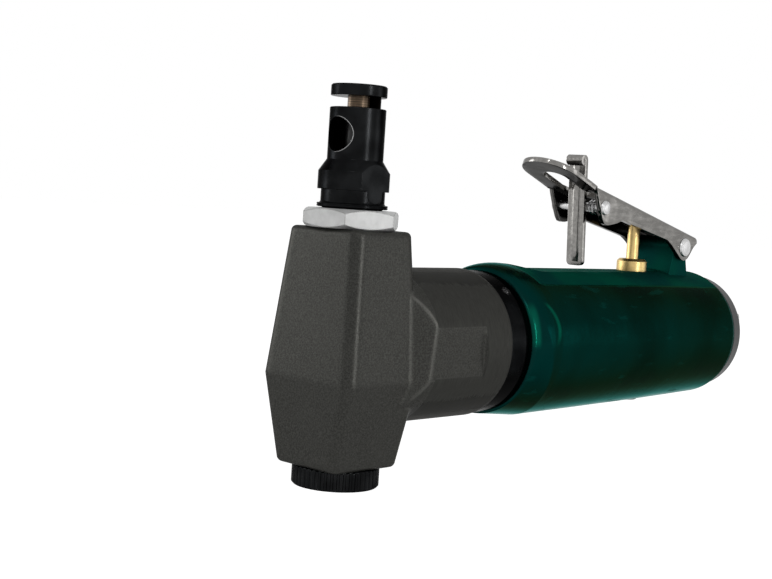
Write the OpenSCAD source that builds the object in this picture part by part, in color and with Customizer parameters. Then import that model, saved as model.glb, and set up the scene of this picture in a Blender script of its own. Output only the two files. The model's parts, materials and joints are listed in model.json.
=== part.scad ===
// Air nibbler: a vane motor in the handle turns a crank through one planetary stage, and
// the crank drives a round punch up into the hole of a die, which is carried by a holder
// with a gap for the sheet. Z is the punch axis, X runs from the head to the air inlet,
// and the origin is the centre of the face of the bottom cap.

/* [Head casting] */
// Height of the head from its bottom face to the ridge round its middle
head_low_h = 23.2; // [18:0.1:30]
// Height of the head from the ridge to its top face
head_top_h = 39.3; // [34:0.1:50]
// Handle axis above the bottom face of the head
handle_rise = 31.2; // [29:0.1:34]
// Front face of the head to the punch axis, at the top
front_top = 10.5; // [9.8:0.05:13]
// Front face of the head to the punch axis, at the ridge
front_ridge = 13.74; // [11.5:0.1:16]
// Front face of the head to the punch axis, at the bottom
front_bottom = 12.25; // [10.5:0.05:14]
// Rear face of the head to the punch axis, at the top
rear_top = 10.95; // [10:0.1:12]
// Rear face of the head to the punch axis, at the ridge
rear_ridge = 13.35; // [11.5:0.1:14]
// Rear face of the head to the punch axis, at the bottom
rear_bottom = 12.0; // [10.5:0.1:13]
// Half width of the head at the top
side_top = 13.35; // [12:0.05:15]
// Half width of the head at the ridge
side_ridge = 16.6; // [15.5:0.1:18.5]
// Half width of the head at the bottom
side_bottom = 11.85; // [11.8:0.05:15]
// Radius of the casting's upper and lower edges
cast_fillet = 1.5; // [1:0.1:3]
// Radius of the casting's upright corners
cast_corner = 3.0; // [3:0.1:4.5]

/* [Neck of the head] */
// Outer radius of the neck
neck_r = 21.15; // [20.4:0.05:24]
// Rear end of the neck from the punch axis
neck_end = 45.7; // [45:0.1:50]
// Half of the width across the two spanner flats on the neck
neck_flat = 19.9; // [19:0.1:20.3]
// Front end of the spanner flats, at the fairing
neck_flat_from = 14.4; // [14:0.1:17]
// Angle of the slanted sides in front of the flats
fairing_angle = 37; // [32:0.5:42]
// Lean of the slanted sides
fairing_lean = 7; // [0:0.5:10]
// Rear end of the spanner flats
neck_flat_to = 34.7; // [30:0.1:38]

/* [Bottom cap] */
// Height of the cap below the head
cap_h = 5.4; // [4:0.1:9]
// Outer radius of the cap over its flutes
cap_r = 11.65; // [11:0.05:13]
// Number of flutes round the cap
cap_flutes = 44; // [24:1:60]
// Radius of one flute
flute_r = 0.5; // [0.3:0.05:0.6]
// Length of the cap's threaded plug inside the head
cap_plug_l = 8.5; // [5:0.1:9]

/* [Die and die holder] */
// Radius of the punch
punch_r = 2.9; // [2:0.05:3.1]
// Radius of the die disc and of the barrel under it
barrel_r = 7.4; // [7.2:0.05:7.9]
// Thickness of the die disc
die_t = 3.0; // [2.5:0.1:5]
// Height of the gap that the sheet runs in
sheet_gap = 3.0; // [2:0.1:4.5]
// Outer radius of the post that carries the die disc
post_r = 5.9; // [5:0.05:6]
// Length of the barrel above its cone
barrel_l = 13.5; // [12:0.1:18]
// Height of the cone between the barrel and the collar
cone_h = 3.1; // [2:0.1:4]
// Radius of the collar
collar_r = 9.45; // [9:0.05:10]
// Height of the collar
collar_h = 4.8; // [3.5:0.1:7]
// Half of the width across the spanner flats on the collar
collar_flat = 8.0; // [7.5:0.05:8.3]
// Radius of the relief under the collar
relief_r = 8.45; // [8.2:0.05:8.8]
// Height of the relief under the collar
relief_h = 3.2; // [2:0.1:5]
// Radius of the window in the front of the barrel
window_r = 4.5; // [2:0.05:4.8]
// Window centre below the top of the barrel
window_drop = 7.1; // [5.2:0.1:8]
// Radius of the holder's thread
holder_thread_r = 8.0; // [7.6:0.05:8.3]
// Length of thread inside the head
holder_thread_l = 8.6; // [6:0.1:10]
// Thickness of the lock nut
nut_t = 5.0; // [4:0.1:6]
// Width across the flats of the lock nut
nut_af = 23.6; // [22:0.1:26]
// Turn of the lock nut about the punch axis
nut_turn = 38; // [0:1:59]

/* [Crank and punch carrier] */
// Throw of the crank, half of the stroke of the punch
crank_throw = 3.0; // [2.5:0.1:3.4]
// Radius of the crank pin
crank_pin_r = 2.0; // [1.5:0.05:2.4]
// Radius of the roller on the crank pin
roller_r = 3.5; // [3:0.05:3.8]
// Radius of the punch carrier
carrier_r = 7.5; // [7:0.05:7.8]
// Wall of the bush that guides the carrier
bush_wall = 1.5; // [1:0.05:1.6]
// Radius of the shank at the foot of the punch
punch_foot_r = 4.0; // [3.2:0.05:4.6]
// Radius of the pin that holds the punch in its carrier
punch_pin_r = 1.5; // [1:0.05:2]
// Radius of the crank's journals
journal_r = 7.5; // [6.5:0.05:8]
// Outer radius of the crank's ball bearings
crank_bearing_r = 14.0; // [13:0.05:14.5]
// Width of one of the crank's ball bearings
crank_bearing_w = 7.0; // [6:0.1:7]

/* [Planetary gears] */
// Module of the teeth
tooth_module = 0.8; // [0.75:0.01:0.82]
// Teeth on the rotor pinion
sun_teeth = 12; // [12:1:12]
// Teeth on each planet gear
planet_teeth = 12; // [12:1:12]
// Pressure angle of the teeth
pressure_angle = 25; // [22:1:26]
// Play between two teeth in mesh
backlash = 0.16; // [0.1:0.01:0.25]
// Width of the planet gears
gear_w = 7.0; // [5:0.1:7.4]
// Radius of the planet pins
planet_pin_r = 1.8; // [1.4:0.05:2]
// Outer radius of the ring gear
ring_gear_r = 17.0; // [16.6:0.05:17.3]

/* [Coupling ring] */
// Outer radius of the black coupling ring
coupling_r = 20.6; // [19.8:0.05:20.8]
// Length of the coupling ring up to its groove
coupling_l = 7.0; // [5:0.1:7.2]
// Radius of the spanner holes in the coupling ring
spanner_hole_r = 1.45; // [1:0.05:2]
// Angle of the spanner holes from the top
spanner_hole_turn = 40; // [0:1:89]

/* [Motor housing] */
// Radius of the housing behind its collar
grip_r = 22.55; // [22.2:0.05:24]
// Radius of the housing at its rear end
grip_end_r = 20.8; // [20:0.05:22]
// Radius of the ridge round the front of the housing
lip_r = 22.87; // [22.6:0.01:24.5]
// Lean of the front cone, which moves the ridge back on the underside
lip_lean = 5.5; // [0:0.5:6]
// Rear end of the housing from the punch axis
housing_end = 168; // [164:0.5:190]
// Height of the flat land under the lever above the handle axis
land_z = 20.9; // [20:0.05:21.3]
// Depth of the step at the lower edge of the facets beside the land
panel_depth = 0.5; // [0.2:0.05:0.8]
// Angle from the top to the lower edge of the facets
panel_angle = 38.7; // [30:0.1:50]
// Radius of the motor bore
motor_bore_r = 15.5; // [15:0.05:15.8]

/* [Vane motor] */
// Length of the rotor
rotor_l = 50; // [40:0.5:52]
// Radius of the rotor
rotor_r = 10.9; // [10:0.05:11]
// Radius of the bore that the rotor runs in
cylinder_bore_r = 12.5; // [12.45:0.05:12.8]
// Distance between the axes of the rotor and the cylinder bore
cylinder_offset = 1.45; // [1.2:0.05:1.48]
// Number of vanes
vane_count = 5; // [4:1:6]
// Thickness of a vane
vane_t = 1.5; // [1:0.1:2]
// Depth of a vane
vane_depth = 5.6; // [4:0.1:6]
// Radius of the rotor shaft in its ball bearings
shaft_r = 4.0; // [3.6:0.05:4.2]
// Outer radius of the rotor's ball bearings
shaft_bearing_r = 8.0; // [7.5:0.05:9]
// Width of the rotor's ball bearings
shaft_bearing_w = 5.0; // [4:0.1:5.5]

/* [Throttle lever] */
// Half width of the lever
lever_half_w = 9.25; // [8.8:0.05:10]
// Thickness of the lever's sheet
lever_t = 1.5; // [1:0.05:1.6]
// Tip of the lever from the punch axis
lever_tip_x = 77; // [73:0.5:80]
// Tip of the lever above the handle axis
lever_tip_z = 55.0; // [53:0.1:58]
// Bend of the lever from the punch axis
lever_bend_x = 97; // [95:0.1:98]
// Bend of the lever above the handle axis
lever_bend_z = 47.6; // [46.5:0.1:48.5]
// Lever pivot from the punch axis
pivot_x = 150; // [148:0.5:156]
// Lever pivot above the handle axis
pivot_z = 29.5; // [28.5:0.1:30]
// Radius of the pivot pin
pivot_r = 2.0; // [1.5:0.05:2.4]
// Half width of the slot in the lever
slot_half_w = 4.0; // [3.6:0.05:5]
// Travel of the lever
lever_travel = 8; // [4:0.5:8]

/* [Safety latch] */
// Half width of the latch
latch_half_w = 3.0; // [2:0.05:3.2]
// Thickness of the latch
latch_t = 1.5; // [1:0.05:1.8]
// Latch pin from the punch axis
latch_pin_x = 102.0; // [101.8:0.1:102.4]
// Latch pin above the handle axis
latch_pin_z = 41.0; // [40.6:0.1:41.1]
// Radius of the latch pin
latch_pin_r = 1.4; // [1:0.05:1.5]
// Top of the latch above the handle axis
latch_top_z = 57.0; // [53:0.1:60]
// Foot of the latch above the handle axis
latch_foot_z = 22.5; // [22.3:0.1:25]
// Radius of the latch spring's wire
latch_wire_r = 0.3; // [0.25:0.05:0.35]

/* [Throttle valve and inlet] */
// Valve stem from the punch axis
valve_x = 133; // [128:0.5:136]
// Radius of the valve stem
stem_r = 2.0; // [1.5:0.05:2.5]
// Radius of the valve's head
valve_head_r = 4.2; // [3.6:0.05:4.6]
// Radius of the bore that the valve's head runs in
valve_bore_r = 5.0; // [4.8:0.05:5.6]
// Radius of the wire of the valve spring
valve_wire_r = 0.4; // [0.3:0.05:0.5]
// Radius of the air inlet's thread
inlet_r = 5.9; // [5:0.05:6.5]
// Depth of the air inlet's thread
inlet_l = 13; // [10:0.5:16]
// Width across the flats of the inlet bushing
inlet_af = 22; // [20:0.5:24]
// Length of the rear cap
rear_cap_l = 9; // [6:0.5:14]
// Length of the inlet bushing's hexagon
inlet_hex_l = 11; // [8:0.5:16]

/* [Fits] */
// Radial clearance of a running fit
run_fit = 0.05; // [0.02:0.01:0.09]
// Radial clearance of a piece that is pressed or screwed in
seat_fit = 0.02; // [0.01:0.01:0.05]
// Gap between faces that move past each other
face_gap = 0.3; // [0.15:0.05:0.3]

/* [Hidden] */
$fn = 96;
cast_fn = 28;
ring_teeth = sun_teeth + 2 * planet_teeth;
axis_z = cap_h + handle_rise;
head_bottom = cap_h;
head_ridge = cap_h + head_low_h;
head_top = head_ridge + head_top_h;

nut_top = head_top + nut_t;
foot_r = collar_r - 0.15;
foot_h = 1.4;
foot_z = nut_top + face_gap;
relief_z = foot_z + foot_h;
collar_z = relief_z + relief_h;
cone_z = collar_z + collar_h;
barrel_z = cone_z + cone_h;
barrel_top = barrel_z + barrel_l;
die_z = barrel_top + sheet_gap;
die_top = die_z + die_t;
window_z = barrel_top - window_drop;
post_x = punch_r + face_gap;
barrel_bore_r = post_r + run_fit;
grub_r = 1.5;
grub_z = collar_z + collar_h / 2;
post_z = collar_z + 0.6;
guide_top = post_z - face_gap;
guide_l = 9.5;
holder_z = head_top - holder_thread_l;

bush_r = carrier_r + run_fit + bush_wall;
head_bore_r = bush_r + seat_fit;
bush_top = holder_z - face_gap;
bush_bottom = head_bottom + cap_plug_l + face_gap;
stroke = 2 * crank_throw;
yoke_reach = crank_throw + roller_r + face_gap;
yoke_low = axis_z - yoke_reach;
yoke_high = axis_z + yoke_reach + stroke;
carrier_block = 7;
carrier_low = yoke_low - carrier_block;
carrier_high = bush_top - 0.2;
yoke_depth = 3.2;
punch_foot_z = yoke_high + 1.2;
punch_foot_top = carrier_high + 1.6;
punch_top = die_top - 0.9;
punch_pin_z = (punch_foot_z + carrier_high) / 2 - 0.4;

web_x = head_bore_r + 0.5;
web_t = 3;
bearing_x1 = web_x + web_t + 0.8;
bearing_gap = 1;
bearing_x2 = bearing_x1 + crank_bearing_w + bearing_gap;
flange_x = bearing_x2 + crank_bearing_w + 0.8;
flange_t = 3;
gear_x = flange_x + flange_t + 0.4;
gear_end = gear_x + gear_w;
bearing_shoulder_r = crank_bearing_r - 1.6;

sun_r = tooth_module * sun_teeth / 2;
planet_r = tooth_module * planet_teeth / 2;
ring_r = tooth_module * ring_teeth / 2;
gear_centre = sun_r + planet_r;
addendum = 0.8 * tooth_module;
dedendum = 1.0 * tooth_module;
flange_r = ring_r - addendum - 0.4;
planet_count = 3;
sun_turn = 180 / sun_teeth;

nose_r = ring_gear_r + 1.0;
nose_x = gear_end + 0.4;
coupling_end = neck_end + coupling_l;
groove_end = coupling_end + 1.8;
groove_r = coupling_r - 1.1;
front_plate_x = nose_x + 0.6;
plate_l = 7;
rotor_x = front_plate_x + plate_l;
rotor_end = rotor_x + rotor_l;
motor_end = rotor_end + plate_l;
vane_slot_depth = vane_depth + 0.3;
vane_top_r = rotor_r - 0.15;

land_from = 77;
land_to = valve_x + 8.5;
panel_from = 67.6;
boss_r = pivot_r + 1.2;
boss_half_w = lever_half_w - lever_t - 0.35;
boss_spread = 3;
end_wall = 3;

lever_end_x = pivot_x + 7.5;
lever_slope = (lever_bend_z - pivot_z - boss_r - lever_t * 1.06 - 0.6) / (pivot_x - lever_bend_x);
lever_end_z = lever_bend_z - (lever_end_x - lever_bend_x) * lever_slope;
tip_slope = (lever_tip_z - lever_bend_z) / (lever_bend_x - lever_tip_x);
ear_r = 2.6;
latch_hub_r = latch_pin_r + 1.0;
slot_from = lever_tip_x + 7.5;
slot_to = latch_pin_x + latch_hub_r + 0.5;

latch_foot_x = latch_pin_x - 0.7;
latch_top_x = latch_pin_x - 2.8;
latch_roll_r = 1.7;
latch_coil_r = latch_pin_r + latch_wire_r + 0.35;
latch_coil_turns = 2;
latch_coil_pitch = 2 * latch_wire_r + 0.6;
spring_slot_y = latch_half_w + 0.5 + latch_coil_turns * latch_coil_pitch + 2 * latch_wire_r + 0.5;

stem_top = lever_z(valve_x) - lever_t * 1.03 - face_gap;
bushing_r = valve_head_r + 0.7;
bushing_top = land_z + 4;
seat_z = 3.2;
valve_head_t = 3.0;
plug_l = 6;
plug_hex_r = 2.9;
plug_hex_depth = 2.6;
valve_bottom = -grip_r + 1.0;
spring_r = valve_head_r - valve_wire_r - 0.25;
valve_spring_turns = 6;
valve_low = seat_z - valve_head_t - 0.5;
valve_travel = 0.0184 * lever_travel * PI / 180 * 1000;
spigot_r = spring_r - valve_wire_r - 0.4;
passage_r = 3.6;
exhaust_hole_r = 1.9;
exhaust_pitch_r = motor_bore_r - exhaust_hole_r - 0.4;
exhaust_angles = [52, 78, 102, 128, -52, -78, -102, -128];

tail_r = 10.5;
tail_end = housing_end + rear_cap_l;
inlet_end = tail_end + inlet_hex_l;
tail_thread_r = 8.2;
tail_thread_l = 12;

function polar(r, a) = [r * cos(a), r * sin(a)];
function involute(base, r) = let (t = sqrt(max(0, pow(r / base, 2) - 1))) t * 180 / PI - atan(t);
function lever_z(x) = x < lever_bend_x
    ? lever_bend_z + (lever_bend_x - x) * tip_slope
    : lever_bend_z - (x - lever_bend_x) * lever_slope;

// Half of the angle that a tooth covers at radius r
function tooth_half(teeth, thin, r) =
    let (pitch = tooth_module * teeth / 2, base = pitch * cos(pressure_angle))
    90 / teeth - thin / 2 / pitch * 180 / PI + involute(base, pitch) - involute(base, r);

// Outline of a gear with involute flanks
function gear_outline(teeth, tip, root, thin, steps = 5) =
    let (base = tooth_module * teeth / 2 * cos(pressure_angle), low = max(base, root))
    let (radii = [for (k = [0:steps]) low + (tip - low) * k / steps])
    [for (i = [0:teeth - 1]) each concat(
        [polar(root, 360 * i / teeth - tooth_half(teeth, thin, low))],
        [for (k = [0:steps]) polar(radii[k], 360 * i / teeth - tooth_half(teeth, thin, radii[k]))],
        [for (k = [steps:-1:0]) polar(radii[k], 360 * i / teeth + tooth_half(teeth, thin, radii[k]))],
        [polar(root, 360 * i / teeth + tooth_half(teeth, thin, low))])];

// Points of a coil, with one straight step at each end
function coil_point(r, pitch, a) = [r * cos(a), r * sin(a), pitch * a / 360];
function coil_way(r, pitch, a) = let (v = [-2 * PI * r * sin(a), 2 * PI * r * cos(a), pitch]) v / norm(v);
function coil_path(r, pitch, turns, lead) = concat(
    [coil_point(r, pitch, 0) - lead * coil_way(r, pitch, 0)],
    [for (i = [0:8 * turns]) coil_point(r, pitch, 45 * i)],
    [coil_point(r, pitch, 360 * turns) + lead * coil_way(r, pitch, 360 * turns)]);
function coil_gap(path, wire_r) = min([for (i = [1:len(path) - 10]) for (k = [7:9])
    norm(path[i + k] - path[i])]) - 2 * wire_r;

// One unbroken tube wound into a coil about Z
module coil(r, pitch, turns, wire_r) {
    path = coil_path(r, pitch, turns, 2 * wire_r);
    last = len(path) - 1;
    echo(coil_gap = coil_gap(path, wire_r));
    points = [for (i = [0:last]) each
        let (a = 45 * min(max(i - 1, 0), 8 * turns), out = [cos(a), sin(a), 0])
        let (up = cross(coil_way(r, pitch, a), out))
        [for (k = [0:5]) path[i] + wire_r * (out * cos(60 * k) + up * sin(60 * k))]];
    sides = [for (i = [0:last - 1]) for (k = [0:5]) each
        let (a = 6 * i + k, b = 6 * i + (k + 1) % 6)
        [[a, a + 6, b + 6], [a, b + 6, b]]];
    ends = [for (k = [1:4]) each [[0, k, k + 1], [6 * last, 6 * last + k + 1, 6 * last + k]]];
    polyhedron(points = points, faces = concat(sides, ends), convexity = 6);
}

// Puts what is drawn about Z on the handle axis, starting at x
module along_handle(x = 0) translate([x, 0, axis_z]) rotate([0, 90, 0]) children();

// Puts an outline of x and height over the handle axis upright, and gives it a width
module side_plate(half_w, y = 0) translate([0, y, axis_z]) rotate([90, 0, 0])
    linear_extrude(2 * half_w, center = true) children();

module cross_rod(x, z, r, half_l, y = 0) translate([x, y, axis_z + z]) rotate([90, 0, 0])
    cylinder(r = r, h = 2 * half_l, center = true);

module tube(outer, inner, l) difference() {
    cylinder(r = outer, h = l);
    translate([0, 0, -1]) cylinder(r = inner, h = l + 2);
}

// Four rounded corners of the casting at one level, wider round the upright than over the edge
module cast_level(front, rear, side, z) {
    for (x = [-front + cast_corner, rear - cast_corner], y = [-1, 1])
        translate([x, y * (side - cast_corner), z]) rotate_extrude($fn = cast_fn)
            polygon(concat([[0, -cast_fillet]],
                [for (a = [-90:15:90]) [cast_corner - cast_fillet, 0] + polar(cast_fillet, a)],
                [[0, cast_fillet]]));
}

module cast_half(front, rear, side, z) hull() {
    cast_level(front, rear, side, z);
    cast_level(front_ridge, rear_ridge, side_ridge, head_ridge);
}

// Cuts one slanted side in front of a spanner flat, rounded where it meets the flat
module neck_slant() {
    middle = [1.5 * tan(fairing_angle / 2), neck_flat - 1.45];
    translate([neck_flat_from, 0, axis_z + 3]) rotate([0, fairing_lean, 0])
        linear_extrude(60, center = true) polygon(concat(
            [[-12, neck_flat + 8], [-12, neck_flat + 0.05 - 12 * tan(fairing_angle)]],
            [for (k = [6:-1:0]) middle + polar(1.5, 90 + fairing_angle * k / 6)],
            [[middle[0], neck_flat + 8]]));
}

// Neck of the head, which its slanted sides lead out to from the narrower head
module neck_body() difference() {
    along_handle() rotate_extrude() polygon([[0, 6], [neck_r, 6], [neck_r, neck_end - 0.5],
        [neck_r - 0.5, neck_end], [0, neck_end]]);
    neck_slant();
    mirror([0, 1, 0]) neck_slant();
}

module head_casting() color([0.23, 0.23, 0.22]) difference() {
    union() {
        cast_half(front_bottom, rear_bottom, side_bottom, head_bottom + cast_fillet);
        cast_half(front_top, rear_top, side_top, head_top - cast_fillet);
        neck_body();
    }
    for (way = [-1, 1]) translate([neck_flat_from - 5, way * (neck_flat + 5) - 5, axis_z - 15])
        cube([neck_flat_to - neck_flat_from + 5, 10, 30]);
    translate([0, 0, -1]) cylinder(r = head_bore_r, h = bush_top + face_gap + 1);
    cylinder(r = holder_thread_r + run_fit, h = head_top + 5);
    along_handle(4) cylinder(r = yoke_reach + 1.6, h = bearing_x1 - 4);
    along_handle(bearing_x1 - 0.1) cylinder(r = crank_bearing_r + seat_fit, h = flange_x - bearing_x1);
    along_handle(flange_x - 0.3) cylinder(r = ring_gear_r + seat_fit, h = nose_x - flange_x + 0.3);
    along_handle(nose_x - 0.1) cylinder(r = nose_r + seat_fit, h = 20);
}

module head_cap() color([0.03, 0.03, 0.03]) difference() {
    union() {
        rotate_extrude() polygon([[0, 0], [cap_r - 0.5, 0], [cap_r, 0.5], [cap_r, cap_h - 0.5],
            [cap_r - 0.4, cap_h], [0, cap_h]]);
        translate([0, 0, cap_h - 0.5]) cylinder(r = bush_r, h = cap_plug_l + 0.5);
    }
    for (i = [0:cap_flutes - 1]) rotate(360 * i / cap_flutes)
        translate([cap_r + 0.1, 0, -1]) cylinder(r = flute_r, h = cap_h + 1 - 0.35, $fn = 24);
    translate([0, 0, cap_h - 1.2]) cylinder(r = bush_r - 2, h = cap_plug_l + 10);
    translate([0, 0, cap_h + cap_plug_l - 3]) tube(bush_r + 1, bush_r - 1.1, 1.8);
}

module cap_seal() color([0.05, 0.05, 0.05]) translate([0, 0, cap_h + cap_plug_l - 2.1])
    rotate_extrude() translate([bush_r - 0.5, 0]) circle(r = 0.48, $fn = 32);

module lock_nut() color([0.78, 0.78, 0.76]) translate([0, 0, head_top]) difference() {
    intersection() {
        rotate(nut_turn) cylinder(r = nut_af / 2 / cos(30), h = nut_t, $fn = 6);
        rotate_extrude() polygon([[0, 0], [nut_af / 2 - 0.3, 0], [nut_af / 2 + 2.2, 1.3],
            [nut_af / 2 + 2.2, nut_t - 1.3], [nut_af / 2 - 0.3, nut_t], [0, nut_t]]);
    }
    translate([0, 0, -1]) cylinder(r = holder_thread_r + run_fit, h = nut_t + 2);
}

// Outline of the holder from its thread to the top of its barrel, as radius and height
module holder_outline() polygon([[0, holder_z], [holder_thread_r - 0.5, holder_z],
    [holder_thread_r, holder_z + 0.5], [holder_thread_r, foot_z], [foot_r - 0.3, foot_z],
    [foot_r, foot_z + 0.3], [foot_r, foot_z + 0.7], [relief_r + 0.25, relief_z - 0.25],
    [relief_r, relief_z + 0.1], [relief_r, collar_z], [collar_r - 0.1, collar_z],
    [collar_r, collar_z + 0.1], [collar_r, cone_z], [barrel_r, barrel_z],
    [barrel_r, barrel_top - 0.15], [barrel_r - 0.15, barrel_top], [0, barrel_top]]);

module holder_flat(way) translate([0, way * (collar_flat + 5), 0]) rotate([90, 0, 0])
    translate([0, 0, -5]) linear_extrude(10) union() {
        translate([-9, collar_z - 0.3]) square([18, collar_h + cone_h + 2]);
        translate([-3, relief_z + 3]) square([6, relief_h]);
        translate([0, relief_z + 3]) circle(r = 3);
    }

module die_holder() color([0.04, 0.045, 0.05]) difference() {
    rotate_extrude() holder_outline();
    for (way = [-1, 1]) holder_flat(way);
    translate([0, 0, holder_z - 1]) cylinder(r = barrel_bore_r, h = barrel_top - holder_z + 2);
    translate([0, 0, window_z]) rotate([0, -90, 0]) cylinder(r = window_r, h = 20);
    translate([4, 0, grub_z]) rotate([0, 90, 0]) cylinder(r = grub_r + seat_fit, h = 10);
}

// Disc of the die with its hole, on a post that fills one side of the barrel's bore
module die() color([0.045, 0.045, 0.05]) {
    difference() {
        union() {
            translate([0, 0, die_z]) rotate_extrude() polygon([[0, 0], [barrel_r - 0.15, 0],
                [barrel_r, 0.15], [barrel_r, die_t - 0.35], [barrel_r - 0.35, die_t], [0, die_t]]);
            intersection() {
                translate([0, 0, post_z]) cylinder(r = post_r, h = die_z - post_z + 0.2);
                translate([post_x, -10, post_z - 1]) cube([10, 20, die_z - post_z + 3]);
            }
        }
        translate([0, 0, die_z - 1]) cylinder(r = punch_r + run_fit, h = die_t + 2);
    }
}

module die_screw() color([0.1, 0.1, 0.1]) difference() {
    translate([post_r + face_gap / 2, 0, grub_z]) rotate([0, 90, 0])
        cylinder(r = grub_r, h = collar_r - post_r - 0.9);
    translate([collar_r - 2.2, 0, grub_z]) rotate([0, 90, 0]) cylinder(r = 0.75, h = 4, $fn = 6);
}

module punch_guide() color([0.62, 0.48, 0.25]) translate([0, 0, guide_top - guide_l])
    tube(post_r + run_fit - seat_fit, punch_r + run_fit, guide_l);

module punch() color([0.62, 0.57, 0.5]) difference() {
    rotate_extrude() polygon([[0, punch_foot_z], [punch_foot_r, punch_foot_z],
        [punch_foot_r, punch_foot_top - 0.8], [punch_r, punch_foot_top + 0.5],
        [punch_r, punch_top], [0, punch_top]]);
    translate([0, 0, punch_pin_z]) rotate([90, 0, 0])
        cylinder(r = punch_pin_r + seat_fit, h = 30, center = true);
}

module punch_pin() color([0.6, 0.6, 0.6]) translate([0, 0, punch_pin_z]) rotate([90, 0, 0])
    cylinder(r = punch_pin_r, h = 2 * carrier_r - 1.6, center = true);

// Sliding block with a yoke that is open towards the crank
module punch_carrier() color([0.5, 0.5, 0.5]) difference() {
    translate([0, 0, carrier_low]) cylinder(r = carrier_r, h = carrier_high - carrier_low);
    translate([-yoke_depth, -20, yoke_low]) cube([40, 40, yoke_high - yoke_low]);
    translate([0, 0, punch_foot_z - 0.02]) cylinder(r = punch_foot_r + seat_fit, h = 40);
    translate([0, 0, punch_pin_z]) rotate([90, 0, 0])
        cylinder(r = punch_pin_r + seat_fit, h = 30, center = true);
}

module carrier_bush() color([0.6, 0.45, 0.22]) difference() {
    translate([0, 0, bush_bottom]) tube(bush_r, carrier_r + run_fit, bush_top - bush_bottom);
    translate([0, -20, axis_z - yoke_reach - 1.2]) cube([20, 40, 2 * yoke_reach + 2.4]);
}

module crank_roller() color([0.7, 0.7, 0.7]) along_handle(-yoke_depth + 0.5)
    translate([-crank_throw, 0, 0]) tube(roller_r, crank_pin_r + run_fit, 9.4);

// Crank pin, web, journals and planet carrier in one forging
module crank_shaft() color([0.45, 0.45, 0.46]) {
    difference() {
        union() {
            along_handle(-yoke_depth + 0.3) translate([-crank_throw, 0, 0])
                cylinder(r = crank_pin_r, h = web_x + yoke_depth);
            along_handle(web_x) cylinder(r = yoke_reach + 0.4, h = web_t);
            along_handle(web_x + 1) cylinder(r = journal_r - run_fit / 2, h = flange_x - web_x);
            along_handle(flange_x) cylinder(r = flange_r, h = flange_t);
        }
        for (i = [0:planet_count - 1]) along_handle(flange_x - 1)
            translate(gear_centre * polar(1, 360 * i / planet_count))
                cylinder(r = planet_pin_r + seat_fit, h = flange_t + 3);
        along_handle(flange_x) cylinder(r = sun_r + addendum + 0.6, h = flange_t + 2);
    }
}

// Ball bearing about Z with its two races and its balls
module ball_bearing(inner, outer, w) {
    mid = (inner + outer) / 2;
    ball = (outer - inner) * 0.28;
    balls = floor(PI * mid / (ball + 0.25));
    difference() {
        tube(outer, mid + ball + 0.04, w);
        translate([0, 0, -1]) cylinder(r = mid, h = 0.5);
    }
    tube(mid - ball - 0.04, inner, w);
    for (i = [0:balls - 1]) translate([mid * cos(360 * i / balls), mid * sin(360 * i / balls), w / 2])
        sphere(r = ball);
}

module crank_bearings() color([0.65, 0.65, 0.66]) for (x = [bearing_x1, bearing_x2])
    along_handle(x) ball_bearing(journal_r, crank_bearing_r, crank_bearing_w);

module ring_gear() color([0.4, 0.4, 0.42]) along_handle(flange_x) difference() {
    cylinder(r = ring_gear_r, h = gear_end - flange_x + 0.2);
    translate([0, 0, -1]) linear_extrude(gear_end - flange_x + 3)
        polygon(gear_outline(ring_teeth, ring_r + dedendum, ring_r - addendum, -backlash));
}

module planet_gear(i) color([0.5, 0.5, 0.52]) along_handle(gear_x)
    translate(gear_centre * polar(1, 360 * i / planet_count)) difference() {
        linear_extrude(gear_w)
            polygon(gear_outline(planet_teeth, planet_r + addendum, planet_r - dedendum, backlash));
        translate([0, 0, -1]) cylinder(r = planet_pin_r + run_fit, h = gear_w + 2);
    }

module planet_gear_1() planet_gear(0);
module planet_gear_2() planet_gear(1);
module planet_gear_3() planet_gear(2);

module planet_pins() color([0.7, 0.7, 0.7]) for (i = [0:planet_count - 1])
    along_handle(flange_x + 0.1) translate(gear_centre * polar(1, 360 * i / planet_count))
        cylinder(r = planet_pin_r, h = gear_end - flange_x);

module rotor_pinion() color([0.5, 0.5, 0.52]) along_handle(gear_x + 0.2) difference() {
    rotate(sun_turn) linear_extrude(gear_w)
        polygon(gear_outline(sun_teeth, sun_r + addendum, sun_r - dedendum, backlash));
    translate([0, 0, -1]) cylinder(r = shaft_r / 2 + seat_fit, h = gear_w + 2);
}

module coupling_ring() color([0.03, 0.03, 0.03]) difference() {
    along_handle(neck_end) difference() {
        rotate_extrude() polygon([[0, 0], [coupling_r - 0.3, 0], [coupling_r, 0.3],
            [coupling_r, coupling_l - 0.5], [coupling_r - 0.5, coupling_l],
            [groove_r, coupling_l], [groove_r, coupling_l + 1.5], [0, coupling_l + 1.5]]);
        translate([0, 0, -1]) cylinder(r = nose_r + seat_fit, h = coupling_l + 4);
    }
    for (turn = [0, 180]) translate([coupling_end - 1.4 - spanner_hole_r / 2, 0, axis_z])
        rotate([spanner_hole_turn + turn, 0, 0]) translate([0, 0, nose_r + 0.6])
            cylinder(r = spanner_hole_r, h = 10);
}

module front_plate() color([0.55, 0.55, 0.56]) along_handle(front_plate_x) difference() {
    cylinder(r = motor_bore_r - seat_fit, h = plate_l - 0.1);
    translate([0, 0, -1]) cylinder(r = shaft_r + 0.6, h = plate_l + 2);
    translate([0, 0, -1]) cylinder(r = shaft_bearing_r + seat_fit, h = shaft_bearing_w + 1);
}

module front_bearing() color([0.65, 0.65, 0.66]) along_handle(front_plate_x)
    ball_bearing(shaft_r + run_fit, shaft_bearing_r, shaft_bearing_w);

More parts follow.
